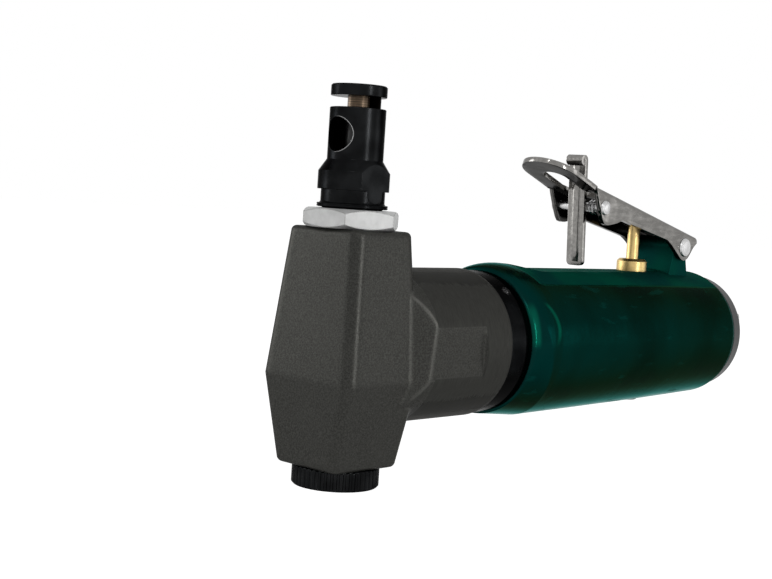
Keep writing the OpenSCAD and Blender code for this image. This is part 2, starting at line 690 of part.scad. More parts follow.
module cylinder_liner() color([0.5, 0.5, 0.5]) along_handle(rotor_x) difference() {
    cylinder(r = motor_bore_r - seat_fit, h = rotor_l);
    translate([cylinder_offset, 0, -1]) cylinder(r = cylinder_bore_r, h = rotor_l + 2);
    for (i = [-2:2]) translate([0, 0, rotor_l / 2 + 7 * i]) rotate([0, 90, 0])
        translate([0, 0, cylinder_bore_r - 2]) cylinder(r = 1.5, h = 10);
}

module rotor() color([0.42, 0.42, 0.44]) difference() {
    union() {
        along_handle(gear_x + 0.4) cylinder(r = shaft_r / 2, h = front_plate_x - gear_x);
        along_handle(front_plate_x - 0.5) cylinder(r = shaft_r, h = motor_end - front_plate_x);
        along_handle(rotor_x + 0.1) cylinder(r = rotor_r, h = rotor_l - 0.2);
    }
    for (i = [0:vane_count - 1]) along_handle(rotor_x - 0.5) rotate(360 * i / vane_count)
        translate([rotor_r - vane_slot_depth, -vane_t / 2 - 0.05, 0])
            cube([vane_slot_depth + 2, vane_t + 0.1, rotor_l + 1]);
}

module vanes() color([0.35, 0.22, 0.12]) for (i = [0:vane_count - 1])
    along_handle(rotor_x + 0.3) rotate(360 * i / vane_count)
        translate([vane_top_r - vane_depth, -vane_t / 2, 0]) cube([vane_depth, vane_t, rotor_l - 0.6]);

module rear_plate() color([0.55, 0.55, 0.56]) along_handle(rotor_end + 0.1) difference() {
    cylinder(r = motor_bore_r - seat_fit, h = plate_l - 0.1);
    translate([0, 0, -1]) cylinder(r = shaft_r + 0.6, h = plate_l + 2);
    translate([0, 0, plate_l - shaft_bearing_w - 0.1])
        cylinder(r = shaft_bearing_r + seat_fit, h = shaft_bearing_w + 1);
}

module rear_bearing() color([0.65, 0.65, 0.66]) along_handle(motor_end - shaft_bearing_w)
    ball_bearing(shaft_r + run_fit, shaft_bearing_r, shaft_bearing_w);

// Cone that trims the front of the housing; it leans, so the ridge behind it isn't square
module front_cone() along_handle(groove_end) rotate([0, -lip_lean, 0]) translate([0, 0, -6])
    cylinder(r1 = coupling_r + 0.95 - 1.14, r2 = coupling_r + 0.95 + 36 * 0.19, h = 42);

// Land under the lever with its ramp, and a facet on each side that ends in a small step
module housing_land() {
    side_plate(20) polygon([[panel_from - 4, lip_r + 0.5], [panel_from, 22.15], [panel_from + 2.9, 21.5],
        [panel_from + 5.9, land_z + 0.15], [land_from, land_z], [land_to, land_z],
        [land_to + 2, lip_r + 3], [panel_from - 4, lip_r + 3]]);
    for (way = [-1, 1]) translate([panel_from, 0, axis_z]) rotate([90, 0, 90])
        linear_extrude(land_to - panel_from) polygon([[way * 8.2, land_z + 0.1],
            (grip_r - 0.1 - panel_depth) * [way * sin(panel_angle), cos(panel_angle)],
            (grip_r + 4) * [way * sin(panel_angle), cos(panel_angle)], [way * 8.2, grip_r + 6]]);
}

module pivot_boss() side_plate(boss_half_w) union() {
    translate([pivot_x, pivot_z]) circle(r = boss_r);
    polygon([[pivot_x - boss_r, pivot_z], [pivot_x + boss_r, pivot_z],
        [pivot_x + boss_r + boss_spread, grip_end_r - boss_spread],
        [pivot_x - boss_r - boss_spread, grip_end_r - boss_spread]]);
}

module motor_housing() color([0.02, 0.16, 0.12]) difference() {
    union() {
        difference() {
            union() {
                along_handle(nose_x) cylinder(r = nose_r, h = groove_end + 5 - nose_x);
                intersection() {
                    along_handle() rotate_extrude() polygon([[0, groove_end],
                        [coupling_r + 0.2, groove_end], [coupling_r + 0.7, groove_end + 0.25],
                        [coupling_r + 1.1, groove_end + 0.7], [coupling_r + 1.45, groove_end + 1.6],
                        [coupling_r + 1.85, groove_end + 3], [lip_r - 0.15, groove_end + 4.6],
                        [lip_r, groove_end + 6.4], [lip_r, groove_end + 8.4],
                        [lip_r - 0.11, groove_end + 10.2], [lip_r - 0.22, groove_end + 12.2],
                        [grip_r, groove_end + 18], [grip_r - 0.1, 82], [grip_r - 0.3, 100],
                        [grip_r - 0.7, 130], [grip_end_r + 0.2, housing_end - 2],
                        [grip_end_r - 0.6, housing_end], [0, housing_end]]);
                    union() {
                        front_cone();
                        along_handle(groove_end + 20) cylinder(r = lip_r + 3, h = 200);
                    }
                }
            }
            housing_land();
        }
        pivot_boss();
    }
    along_handle(nose_x - 1) cylinder(r = motor_bore_r, h = motor_end - nose_x + 1.6);
    cross_rod(pivot_x, pivot_z, pivot_r + seat_fit, 20);
    translate([valve_x, 0, axis_z + seat_z]) cylinder(r = bushing_r + seat_fit, h = 40);
    translate([valve_x, 0, axis_z - 40]) cylinder(r = valve_bore_r + seat_fit, h = 40 + seat_z + 1);
    along_handle(valve_x) cylinder(r = passage_r, h = housing_end - valve_x + 5);
    along_handle(motor_end) cylinder(r = passage_r, h = valve_x - motor_end);
    along_handle(housing_end - tail_thread_l) cylinder(r = tail_thread_r + seat_fit, h = 40);
    for (a = exhaust_angles) along_handle(motor_end + 0.6) rotate(a)
        translate([exhaust_pitch_r, 0, 0]) cylinder(r = exhaust_hole_r, h = 100);
}

// Side view of the lever's sheet, with the bent-up tip
module lever_sheet(from, to, drop) polygon(concat(
    [for (x = [from, lever_bend_x - 3, lever_bend_x, lever_bend_x + 3, to]) [x, lever_z(x)
        + (abs(x - lever_bend_x) < 1 ? 0.2 : 0)]],
    [for (x = [to, lever_bend_x + 3, lever_bend_x, lever_bend_x - 3, from]) [x, lever_z(x) - drop
        + (abs(x - lever_bend_x) < 1 ? 0.2 : 0)]]));

// Side view of one flange, with an ear for the latch pin and one for the pivot
module flange_outline() difference() {
    union() {
        polygon([[lever_bend_x, lever_bend_z + 0.3], [latch_pin_x - 2.7, latch_pin_z],
            [latch_pin_x - 0.8, latch_pin_z - 4.2], [latch_pin_x + 0.4, latch_pin_z - 5.2],
            [latch_pin_x + 1.8, latch_pin_z - 5.4], [latch_pin_x + 5, latch_pin_z - 5.2],
            [latch_pin_x + 10, lever_z(latch_pin_x + 10) - 6.6],
            [pivot_x - 10, lever_z(pivot_x - 10) - 5.6], [pivot_x - 4, pivot_z - 2.2],
            [pivot_x, pivot_z - 4.4], [pivot_x + 3.4, pivot_z - 3.0], [lever_end_x - 2.0, pivot_z],
            [lever_end_x, lever_end_z - 2.0], [lever_end_x, lever_end_z]]);
        translate([pivot_x, pivot_z]) circle(r = 4.4);
    }
    translate([pivot_x, pivot_z]) circle(r = pivot_r + run_fit);
    translate([latch_pin_x, latch_pin_z]) circle(r = latch_pin_r + seat_fit);
}

module throttle_lever() color([0.75, 0.75, 0.74]) difference() {
    union() {
        intersection() {
            side_plate(lever_half_w) lever_sheet(lever_tip_x, lever_end_x, lever_t * 1.06);
            translate([lever_tip_x + lever_half_w, 0, axis_z + 20]) linear_extrude(60) union() {
                circle(r = lever_half_w);
                translate([0, -lever_half_w]) square([120, 2 * lever_half_w]);
            }
        }
        for (way = [-1, 1]) side_plate(lever_t / 2, way * (lever_half_w - lever_t / 2)) flange_outline();
    }
    translate([0, 0, axis_z + latch_pin_z - 0.5]) linear_extrude(40) union() {
        translate([slot_from + slot_half_w, -slot_half_w])
            square([slot_to - slot_from - slot_half_w, 2 * slot_half_w]);
        translate([slot_from + slot_half_w, 0]) circle(r = slot_half_w);
        translate([latch_pin_x - latch_coil_r - latch_wire_r - 0.4, -spring_slot_y])
            square([slot_to - latch_pin_x + latch_coil_r + latch_wire_r + 0.4, spring_slot_y]);
    }
}

// Headed rod across the handle
module rivet(x, z, r, half_l, head) {
    cross_rod(x, z, r, half_l + 0.1);
    for (way = [-1, 1]) translate([x, way * (half_l + 0.1), axis_z + z]) rotate([-90 * way, 0, 0])
        rotate_extrude() polygon([[0, 0], [head, 0], [head - 0.3, 0.5], [head - 1.1, 0.8], [0, 0.9]]);
}

module pivot_pin() color([0.7, 0.7, 0.7]) rivet(pivot_x, pivot_z, pivot_r, lever_half_w, pivot_r + 1.1);

module latch_pin() color([0.7, 0.7, 0.7]) rivet(latch_pin_x, latch_pin_z, latch_pin_r, lever_half_w, latch_pin_r + 0.9);

module safety_latch() color([0.75, 0.75, 0.74]) difference() {
    union() {
        side_plate(latch_half_w) union() {
            translate([latch_foot_x, latch_foot_z + latch_t / 2]) circle(r = latch_t / 2);
            polygon([[latch_foot_x - latch_t / 2, latch_foot_z + latch_t / 2],
                [latch_foot_x + latch_t / 2, latch_foot_z + latch_t / 2],
                [latch_top_x + latch_t / 2, latch_top_z - latch_roll_r],
                [latch_top_x - latch_t / 2, latch_top_z - latch_roll_r]]);
            translate([latch_top_x - latch_roll_r + latch_t / 2, latch_top_z - latch_roll_r])
                circle(r = latch_roll_r);
        }
        cross_rod(latch_pin_x, latch_pin_z, latch_hub_r, latch_half_w);
    }
    cross_rod(latch_pin_x, latch_pin_z, latch_pin_r + run_fit, 20);
}

module latch_spring() color([0.6, 0.6, 0.6])
    translate([latch_pin_x, -latch_half_w - 0.5 - latch_wire_r, axis_z + latch_pin_z])
        rotate([90, 0, 0])
        coil(latch_coil_r, latch_coil_pitch, latch_coil_turns, latch_wire_r);

module valve_stem() color([0.72, 0.6, 0.35]) translate([valve_x, 0, axis_z]) rotate_extrude()
    polygon([[0, valve_low - 4], [spigot_r - 0.4, valve_low - 4], [spigot_r, valve_low - 3.4],
        [spigot_r, valve_low], [valve_head_r - 0.8, valve_low], [valve_head_r, valve_low + 0.8], [valve_head_r, seat_z - 1.2],
        [stem_r, seat_z - 0.3], [stem_r, stem_top - 1.2], [stem_r - 0.5, stem_top - 0.4],
        [stem_r - 1.2, stem_top], [0, stem_top]]);

module valve_bushing() color([0.5, 0.5, 0.48]) translate([valve_x, 0, axis_z]) difference() {
    rotate_extrude() polygon([[stem_r + run_fit, seat_z + 0.1], [bushing_r, seat_z + 0.1],
        [bushing_r, bushing_top - 0.8], [bushing_r - 0.8, bushing_top],
        [stem_r + run_fit, bushing_top]]);
    rotate_extrude() translate([bushing_r, land_z - 6]) circle(r = 0.8, $fn = 32);
    translate([0, 0, seat_z]) tube(20, stem_r + 1.6, 0.3);
}

module valve_seals() color([0.05, 0.05, 0.05]) translate([valve_x, 0, axis_z]) {
    rotate_extrude() translate([bushing_r - 0.3, land_z - 6]) circle(r = 0.28, $fn = 32);
    translate([0, 0, valve_bottom + 1.6]) rotate_extrude() translate([valve_bore_r - 0.4, 0])
        circle(r = 0.37, $fn = 32);
}

module valve_spring() color([0.6, 0.6, 0.6])
    translate([valve_x, 0, axis_z + valve_bottom + plug_l + valve_wire_r + 0.1])
        coil(spring_r, (valve_low - valve_travel - 0.4 - valve_bottom - plug_l - 2 * valve_wire_r)
            / valve_spring_turns, valve_spring_turns, valve_wire_r);

module valve_plug() color([0.2, 0.2, 0.2]) translate([valve_x, 0, axis_z + valve_bottom]) difference() {
    rotate_extrude() polygon([[0, 0], [valve_bore_r - 0.3, 0], [valve_bore_r, 0.3],
        [valve_bore_r, 1.1], [valve_bore_r - 0.8, 1.1], [valve_bore_r - 0.8, 2.1],
        [valve_bore_r, 2.1], [valve_bore_r, plug_l], [0, plug_l]]);
    translate([0, 0, -1]) cylinder(r = plug_hex_r, h = plug_hex_depth + 1, $fn = 6);
}

module exhaust_silencer() color([0.55, 0.53, 0.45]) along_handle(housing_end + 0.2)
    tube(exhaust_pitch_r + exhaust_hole_r + 0.6, tail_r + 0.4, rear_cap_l - end_wall);

module rear_cap() color([0.03, 0.03, 0.03]) along_handle(housing_end) difference() {
    rotate_extrude() polygon([[0, 0], [grip_end_r - 0.9, 0], [grip_end_r - 0.6, 0.4],
        [grip_end_r - 1.4, rear_cap_l - end_wall - 0.5], [grip_end_r - end_wall, rear_cap_l - 1.2],
        [grip_end_r - 2 * end_wall, rear_cap_l], [0, rear_cap_l]]);
    translate([0, 0, -1]) cylinder(r = tail_r + face_gap, h = rear_cap_l + 3);
    translate([0, 0, -1]) cylinder(r = exhaust_pitch_r + exhaust_hole_r + 0.8, h = rear_cap_l - 1.6);
    for (i = [0:11]) rotate(30 * i) translate([0, 0, rear_cap_l - 4]) linear_extrude(10) union() {
        translate([tail_r + 1.9, -0.9]) square([2.8, 1.8]);
        for (r = [tail_r + 1.9, tail_r + 4.7]) translate([r, 0]) circle(r = 0.9);
    }
}

module inlet_bushing() color([0.72, 0.72, 0.7]) difference() {
    union() {
        along_handle(housing_end - tail_thread_l + 0.5) cylinder(r = tail_thread_r, h = tail_thread_l);
        along_handle(housing_end) cylinder(r = tail_r, h = rear_cap_l + 0.5);
        along_handle(tail_end) intersection() {
            cylinder(r = inlet_af / 2 / cos(30), h = inlet_hex_l, $fn = 6);
            rotate_extrude() polygon([[0, 0], [inlet_af / 2 + 0.2, 0], [inlet_af / 2 + 2, 1],
                [inlet_af / 2 + 2, inlet_hex_l - 1.2], [inlet_af / 2 - 0.4, inlet_hex_l], [0, inlet_hex_l]]);
        }
    }
    along_handle(inlet_end - inlet_l) cylinder(r = inlet_r, h = inlet_l + 1);
    along_handle(0) cylinder(r = passage_r + 0.6, h = inlet_end - 2);
    along_handle(housing_end - 3.2) tube(20, tail_thread_r - 0.9, 1.6);
}

module inlet_seal() color([0.05, 0.05, 0.05]) along_handle(housing_end - 2.4)
    rotate_extrude() translate([tail_thread_r - 0.4, 0]) circle(r = 0.38, $fn = 32);

head_casting();
head_cap();
cap_seal();
lock_nut();
die_holder();
die();
die_screw();
punch_guide();
punch();
punch_pin();
punch_carrier();
carrier_bush();
crank_roller();
crank_shaft();
crank_bearings();
ring_gear();
planet_gear_1();
planet_gear_2();
planet_gear_3();
planet_pins();
rotor_pinion();
coupling_ring();
front_plate();
front_bearing();
cylinder_liner();
rotor();
vanes();
rear_plate();
rear_bearing();
motor_housing();
throttle_lever();
pivot_pin();
safety_latch();
latch_pin();
latch_spring();
valve_stem();
valve_bushing();
valve_spring();
valve_plug();
valve_seals();
exhaust_silencer();
rear_cap();
inlet_bushing();
inlet_seal();
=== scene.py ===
"""Air nibbler: finishes, formed pieces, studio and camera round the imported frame."""

import json
import math

import bmesh
import bpy
from bpy.props import FloatProperty, FloatVectorProperty, PointerProperty
from mathutils import Matrix, Vector


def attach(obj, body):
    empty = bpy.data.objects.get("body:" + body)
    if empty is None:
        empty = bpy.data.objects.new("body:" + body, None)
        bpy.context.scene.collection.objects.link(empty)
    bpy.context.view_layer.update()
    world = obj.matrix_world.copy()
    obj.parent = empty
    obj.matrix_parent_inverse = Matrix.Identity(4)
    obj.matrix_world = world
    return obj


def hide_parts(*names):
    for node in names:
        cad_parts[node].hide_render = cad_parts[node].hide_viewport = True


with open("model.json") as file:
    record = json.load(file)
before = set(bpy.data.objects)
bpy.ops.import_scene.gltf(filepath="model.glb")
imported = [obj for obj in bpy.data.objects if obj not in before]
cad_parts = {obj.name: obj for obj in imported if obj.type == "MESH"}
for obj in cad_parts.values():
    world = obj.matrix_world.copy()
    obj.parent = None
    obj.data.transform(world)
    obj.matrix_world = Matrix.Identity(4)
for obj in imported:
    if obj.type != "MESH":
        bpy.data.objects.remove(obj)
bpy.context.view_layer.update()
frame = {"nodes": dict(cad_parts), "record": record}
NODES = frame["nodes"]

bl_info = {
    "name": "Air nibbler finishes",
    "version": (1, 0, 0),
    "blender": (4, 5, 0),
    "location": "3D View > Sidebar > Nibbler",
    "description": "Finishes and formed pieces of a right-angle air nibbler",
    "category": "Object",
}

MM = 0.001
WELD = 0.01 * MM

# Places on the tool, in the frame's metres; x runs along the handle from the die holder's axis
AXIS_Z = 36.6 * MM
NECK_R, NECK_FROM = 21.15 * MM, 14.6 * MM
FAIRING_FROM, FAIRING_TO = 8 * MM, 20 * MM
RING_FROM, RING_TO, RING_BARE_R = 48.8 * MM, 52.15 * MM, 20.25 * MM
LIP_X = 55.8 * MM
WINDOW_Z, WINDOW_R = 92.1 * MM, 4.5 * MM
BARREL_R = 6.6 * MM
FOOT_Z, FOOT_H, FOOT_R = 73.2 * MM, 1.4 * MM, 9.3 * MM
CREST_R, CREST_SINK, FIRST_CREST = 0.24 * MM, 0.16 * MM, 0.3 * MM
CHANNEL_FROM, CHANNEL_SIDE = 96.6 * MM, 7.65 * MM
PUNCH_DARK_BELOW, PUNCH_BROWN_ABOVE = 97.5 * MM, 99.5 * MM

# Highlights painted into the handle's lacquer: an arc, placed in mm, and a crown, whose upper surface is
# painted lighter.
# The turn that both follow is the sine of the angle round the handle's axis
ARC_START, ARC_SLOPE, ARC_CURVE = 63.3, 17.0, 35.0
CROWN_TURN, CROWN_X, CROWN_LEAN = 0.775, 72.3 * MM, 9 * MM

# Studio and camera
PHOTO_SIZE = (772, 579)
FOCAL_PIXELS, SENSOR_WIDTH = 1415.0, 36.0
CAMERA_PLACE = (-0.26419, -0.26139, 0.07731)
CAMERA_AZIMUTH, CAMERA_ELEVATION, CAMERA_ROLL = (math.radians(a) for a in (-46.89, 3.83, 3.73))
LAMP_DISTANCE = 0.95
FLOOR_HALF, FLOOR_GREY, FLOOR_GLOW = 3.0, 0.6, 0.95


# Shader building

class Wire:
    """A node's output that takes part in arithmetic and adds the Math nodes for it."""

    def __init__(self, sheet, socket):
        self.sheet = sheet
        self.socket = socket

    def _math(self, operation, *values):
        return self.sheet.node("ShaderNodeMath", {"operation": operation}, dict(enumerate(values)))

    def __add__(self, other):
        return self._math("ADD", self, other)

    def __radd__(self, other):
        return self._math("ADD", other, self)

    def __sub__(self, other):
        return self._math("SUBTRACT", self, other)

    def __rsub__(self, other):
        return self._math("SUBTRACT", other, self)

    def __mul__(self, other):
        return self._math("MULTIPLY", self, other)

    def __rmul__(self, other):
        return self._math("MULTIPLY", other, self)

    def __truediv__(self, other):
        return self._math("DIVIDE", self, other)

    def __rtruediv__(self, other):
        return self._math("DIVIDE", other, self)

    def clamp(self):
        return self._math("MINIMUM", self._math("MAXIMUM", self, 0.0), 1.0)

    def root(self):
        return self._math("SQRT", self)

    def sine(self):
        return self._math("SINE", self)

    def absolute(self):
        return self._math("ABSOLUTE", self)

    def band(self, low, high):
        """0 below low, 1 above high, smooth between."""
        return self.sheet.node("ShaderNodeMapRange", {"interpolation_type": "SMOOTHSTEP"},
                               {"Value": self, "From Min": low, "From Max": high})

    def until(self, low, high):
        """1 below low, 0 above high, smooth between."""
        return 1.0 - self.band(low, high)

    def near(self, middle, full, none):
        """1 within full of middle, 0 further off than none, smooth between."""
        return (self - middle).absolute().until(full, none)


def reach(a, b):
    """How far the point (a, b) lies from zero."""
    return (a * a + b * b).root()


class Sheet:
    """The nodes of a material or of the world."""

    def __init__(self, owner):
        owner.use_nodes = True
        self.tree = owner.node_tree
        self.tree.nodes.clear()

    def node(self, kind, settings=None, inputs=None, output=0):
        """Adds a node, its settings first, then its sockets' values or links, and gives one output."""
        made = self.tree.nodes.new(kind)
        for key, value in (settings or {}).items():
            setattr(made, key, value)
        for key, value in (inputs or {}).items():
            socket = made.inputs[key]
            if isinstance(value, Wire):
                self.tree.links.new(value.socket, socket)
            elif socket.type == "RGBA" and len(value) == 3:
                socket.default_value = (*value, 1.0)
            else:
                socket.default_value = value
        return Wire(self, made.outputs[output]) if made.outputs else None

    def end(self, kind, shader):
        """Leads a shader into the output node."""
        self.node(kind, {}, {"Surface": shader})

    def seen_directly(self):
        """1 where a ray comes from the camera, a reflection or a clear body."""
        camera, glossy, clear = (self.node("ShaderNodeLightPath", output=name)
                                 for name in ("Is Camera Ray", "Is Glossy Ray", "Is Transmission Ray"))
        return (camera + glossy + clear).clamp()


class Finish(Sheet):
    """A material under construction."""

    def __init__(self, name):
        self.material = bpy.data.materials.new(name)
        super().__init__(self.material)

    def place(self):
        """Object coordinates: the tool's own frame, in metres."""
        return self.node("ShaderNodeTexCoord", output="Object")

    def parts(self, vector):
        """The three numbers of a vector."""
        first = self.node("ShaderNodeSeparateXYZ", {}, {"Vector": vector})
        return [Wire(self, socket) for socket in first.socket.node.outputs]

    def grain(self, size, detail, scale=(1, 1, 1), rough=0.5):
        """Noise whose features are about size metres across, 0 to 1."""
        base = self.node("ShaderNodeMapping", {"vector_type": "POINT"},
                         {"Vector": self.place(), "Scale": scale})
        return self.node("ShaderNodeTexNoise", {}, {"Vector": base, "Scale": 1.0 / size,
                                                    "Detail": detail, "Roughness": rough})

    def mix(self, factor, a, b):
        """Blends two colours; sockets 6 and 7 and output 2 of the Mix node are the colour ones."""
        return self.node("ShaderNodeMix", {"data_type": "RGBA"}, {0: factor, 6: a, 7: b}, 2)

    def rounded(self, radius):
        """The surface's normal, turned over edges and inner corners as if they had a radius."""
        return self.node("ShaderNodeBevel", {"samples": 8}, {"Radius": radius})

    def edges(self, radius, low, high):
        """1 on edges and corners, 0 on flat faces."""
        bevel = self.node("ShaderNodeBevel", {"samples": 6}, {"Radius": radius})
        flat = self.node("ShaderNodeNewGeometry", output="Normal")
        turn = self.node("ShaderNodeVectorMath", {"operation": "DOT_PRODUCT"}, {0: bevel, 1: flat}, "Value")
        return (1.0 - turn).band(low, high)

    def bump(self, height, distance, strength, normal=None):
        """Lets a height tip the surface's normal."""
        inputs = {"Height": height, "Distance": distance, "Strength": strength}
        if normal is not None:
            inputs["Normal"] = normal
        return self.node("ShaderNodeBump", {}, inputs)

    def surface(self, **sockets):
        """Ends the material in a Principled shader."""
        inputs = {key.replace("_", " ").title().replace("Ior", "IOR"): value
                  for key, value in sockets.items()}
        self.end("ShaderNodeOutputMaterial", self.node("ShaderNodeBsdfPrincipled", {}, inputs))
        return self.material


def tone(colour, gain):
    """A colour made lighter or darker."""
    return tuple(min(1.0, c * gain) for c in colour[:3])


def cast_paint(name, colour, grain_size, grain_depth):
    """Satin metallic paint over a cast surface, with a painted highlight on the fairing's rim; the neck is
    turned smooth.
    """
    f = Finish(name)
    speckle = f.grain(grain_size, 3.0, rough=0.7)
    drift = f.grain(14 * MM, 2.0)
    flake = f.grain(grain_size * 0.45, 1.0)
    lengthways, across, upright = f.parts(f.place())
    away = reach(across, upright - AXIS_Z)
    turned = lengthways.band(NECK_FROM, NECK_FROM + 0.3 * MM) * away.near(NECK_R, 0.08 * MM, 0.16 * MM)
    lines = f.grain(0.16 * MM, 1.0, scale=(1, 0.06, 0.06))
    mottled = f.mix(speckle.band(0.34, 0.68), tone(colour, 0.72), tone(colour, 1.32))
    mottled = f.mix(drift.band(0.3, 0.7) * 0.25, mottled, tone(colour, 1.15))
    mottled = f.mix(flake.band(0.64, 0.74) * 0.35, mottled, tone(colour, 2.6))
    worn = f.edges(0.8 * MM, 0.01, 0.22) * speckle.band(0.2, 0.6)
    paint = f.mix(worn * 0.25, mottled, tone(colour, 2.4))
    # Painted highlight: the fairing's rim is painted paler, where it catches the light.
    rim = f.edges(1.6 * MM, 0.002, 0.03) * lengthways.band(FAIRING_FROM, FAIRING_FROM + 2 * MM)
    rim = rim * lengthways.until(FAIRING_TO - 1 * MM, FAIRING_TO)
    paint = f.mix(rim * 0.6, paint, tone(colour, 2.4))
    smooth = f.mix(lines.band(0.35, 0.65), tone(colour, 0.82), tone(colour, 1.04))
    height = (speckle * 0.7 + flake * 0.3) * (1.0 - turned * 0.9) + lines * turned * 0.12
    rough = 0.25 + drift * 0.05 + speckle * 0.12
    return f.surface(base_color=f.mix(turned, paint, smooth), roughness=rough + turned * 0.22, metallic=0.5,
                     specular_ior_level=0.06, specular_tint=(0.25, 0.25, 0.24, 1.0),
                     normal=f.bump(height, grain_depth, 0.55, f.rounded(2 * MM)))


def gloss_paint(name, colour, deep, glint):
    """Thick glossy lacquer over a metallic ground, with orange peel, rubs, fine dust, painted highlight
    streaks and a top painted lighter.
    """
    f = Finish(name)
    peel = f.grain(2.6 * MM, 1.0)
    drift = f.grain(24 * MM, 2.0)
    rubs = f.grain(3.5 * MM, 3.0, scale=(0.3, 1, 1)).band(0.6, 0.72)
    dust = f.grain(0.22 * MM, 2.0).band(0.7, 0.8)
    paint = f.mix(drift.band(0.35, 0.65), colour, deep)
    paint = f.mix(rubs * 0.35, paint, tone(colour, 2.0))
    paint = f.mix(dust * 0.2, paint, tone(glint, 0.2))
    lengthways, across, upright = f.parts(f.place())
    height = upright - AXIS_Z
    turn = height / reach(across, height)
    # Painted highlights: an arc on the shoulder, a band on the lip, a line along the crown's edge and one on
    # its slanting front.
    arc = lengthways.near((turn * ARC_SLOPE - turn * turn * ARC_CURVE + ARC_START) * MM, 0.2 * MM, 1.3 * MM)
    arc = arc * turn.band(0.0, 0.25) * turn.until(0.5, 0.58)
    lip = lengthways.near(LIP_X, 0.4 * MM, 1.9 * MM) * turn.band(-0.02, 0.12) * turn.until(0.45, 0.62)
    # The crown: the upper surface, painted lighter as if lit from above.
    leaning = lengthways + turn * CROWN_LEAN
    crown = turn.band(CROWN_TURN - 0.005, CROWN_TURN + 0.025) * leaning.band(
        CROWN_X - 0.8 * MM, CROWN_X + 0.4 * MM)
    edge = turn.near(CROWN_TURN, 0.004, 0.012) * lengthways.band(65 * MM, 67 * MM)
    slant = leaning.near(CROWN_X, 0.2 * MM, 0.8 * MM) * crown
    shine = (arc * 0.75 + lip * 0.7 + edge * 0.3 + slant * 0.6) * (drift * 0.5 + 0.75)
    # Painted light: first the lighter crown, then the highlight streaks.
    paint = f.mix(crown * 0.9, paint, f.mix(drift.band(0.35, 0.6), tone(colour, 1.6), tone(glint, 0.14)))
    paint = f.mix(shine, paint, tone(glint, 0.22))
    rough = crown * 0.4 + drift * 0.05 + rubs * 0.12 + dust * 0.2 + 0.19
    return f.surface(base_color=paint, metallic=0.85, roughness=rough,
                     specular_ior_level=0.02, specular_tint=(0.02, 0.42, 0.38, 1.0),
                     normal=f.bump(peel, 0.08 * MM, 0.45, f.rounded(0.6 * MM)))


def oxide(name, colour, bright):
    """Oil-blackened steel with fine tool lines; edges and drilled holes are bare, and the lit side of the
    window's rim carries a painted highlight.
    """
    f = Finish(name)
    fine = f.grain(0.35 * MM, 3.0)
    cloud = f.grain(6 * MM, 3.0)
    lines = f.grain(0.18 * MM, 1.0, scale=(0.08, 0.08, 1))
    lengthways, across, upright = f.parts(f.place())
    in_ring = lengthways.band(RING_FROM, RING_FROM + 0.2 * MM) * lengthways.until(RING_TO - 0.1 * MM, RING_TO)
    bare = in_ring * reach(across, upright - AXIS_Z).until(RING_BARE_R, RING_BARE_R + 0.15 * MM)
    skin = f.mix(cloud.band(0.3, 0.7), tone(colour, 0.75), tone(colour, 1.5))
    worn = f.edges(0.35 * MM, 0.03, 0.35) * cloud.band(0.3, 0.75)
    skin = f.mix(worn * 0.3, skin, (0.12, 0.12, 0.12))
    # Painted highlight: a crescent on the lit side of the window's rim.
    rim = reach(across, upright - WINDOW_Z).near(WINDOW_R, 0.05 * MM, 0.22 * MM)
    rim = rim * reach(lengthways, across).band(BARREL_R - 0.6 * MM, BARREL_R)
    rim = rim * across.until(-2 * MM, 1 * MM) * lengthways.until(-4 * MM, -3 * MM)
    skin = f.mix(rim * cloud.band(0.25, 0.5), skin, tone(bright, 0.7))
    skin = f.mix(bare, skin, f.mix(fine.band(0.35, 0.65), tone(bright, 0.35), bright))
    return f.surface(base_color=skin, metallic=bare * 0.1 + 0.85, roughness=0.15 + fine * 0.12 + lines * 0.06,
                     specular_ior_level=0.03, specular_tint=(0.3, 0.3, 0.3, 1.0),
                     normal=f.bump(fine * 0.5 + lines * 0.5, 0.04 * MM, 0.4, f.rounded(0.35 * MM)))


def zinc(name, colour):
    """Bright zinc: pale, slightly clouded, with painted shade on its edges, with milling streaks."""
    f = Finish(name)
    streak = f.grain(0.3 * MM, 2.0, scale=(1, 1, 0.12))
    cloud = f.grain(3 * MM, 3.0)
    skin = f.mix(cloud.band(0.3, 0.7), tone(colour, 0.9), tone(colour, 1.06))
    # Painted shade: the edges and chamfers painted dark.
    skin = f.mix(f.edges(0.5 * MM, 0.01, 0.12) * 0.75, skin, tone(colour, 0.3))
    return f.surface(base_color=skin, metallic=0.4, roughness=0.45 + streak * 0.16 + cloud * 0.08,
                     normal=f.bump(streak, 0.02 * MM, 0.5))


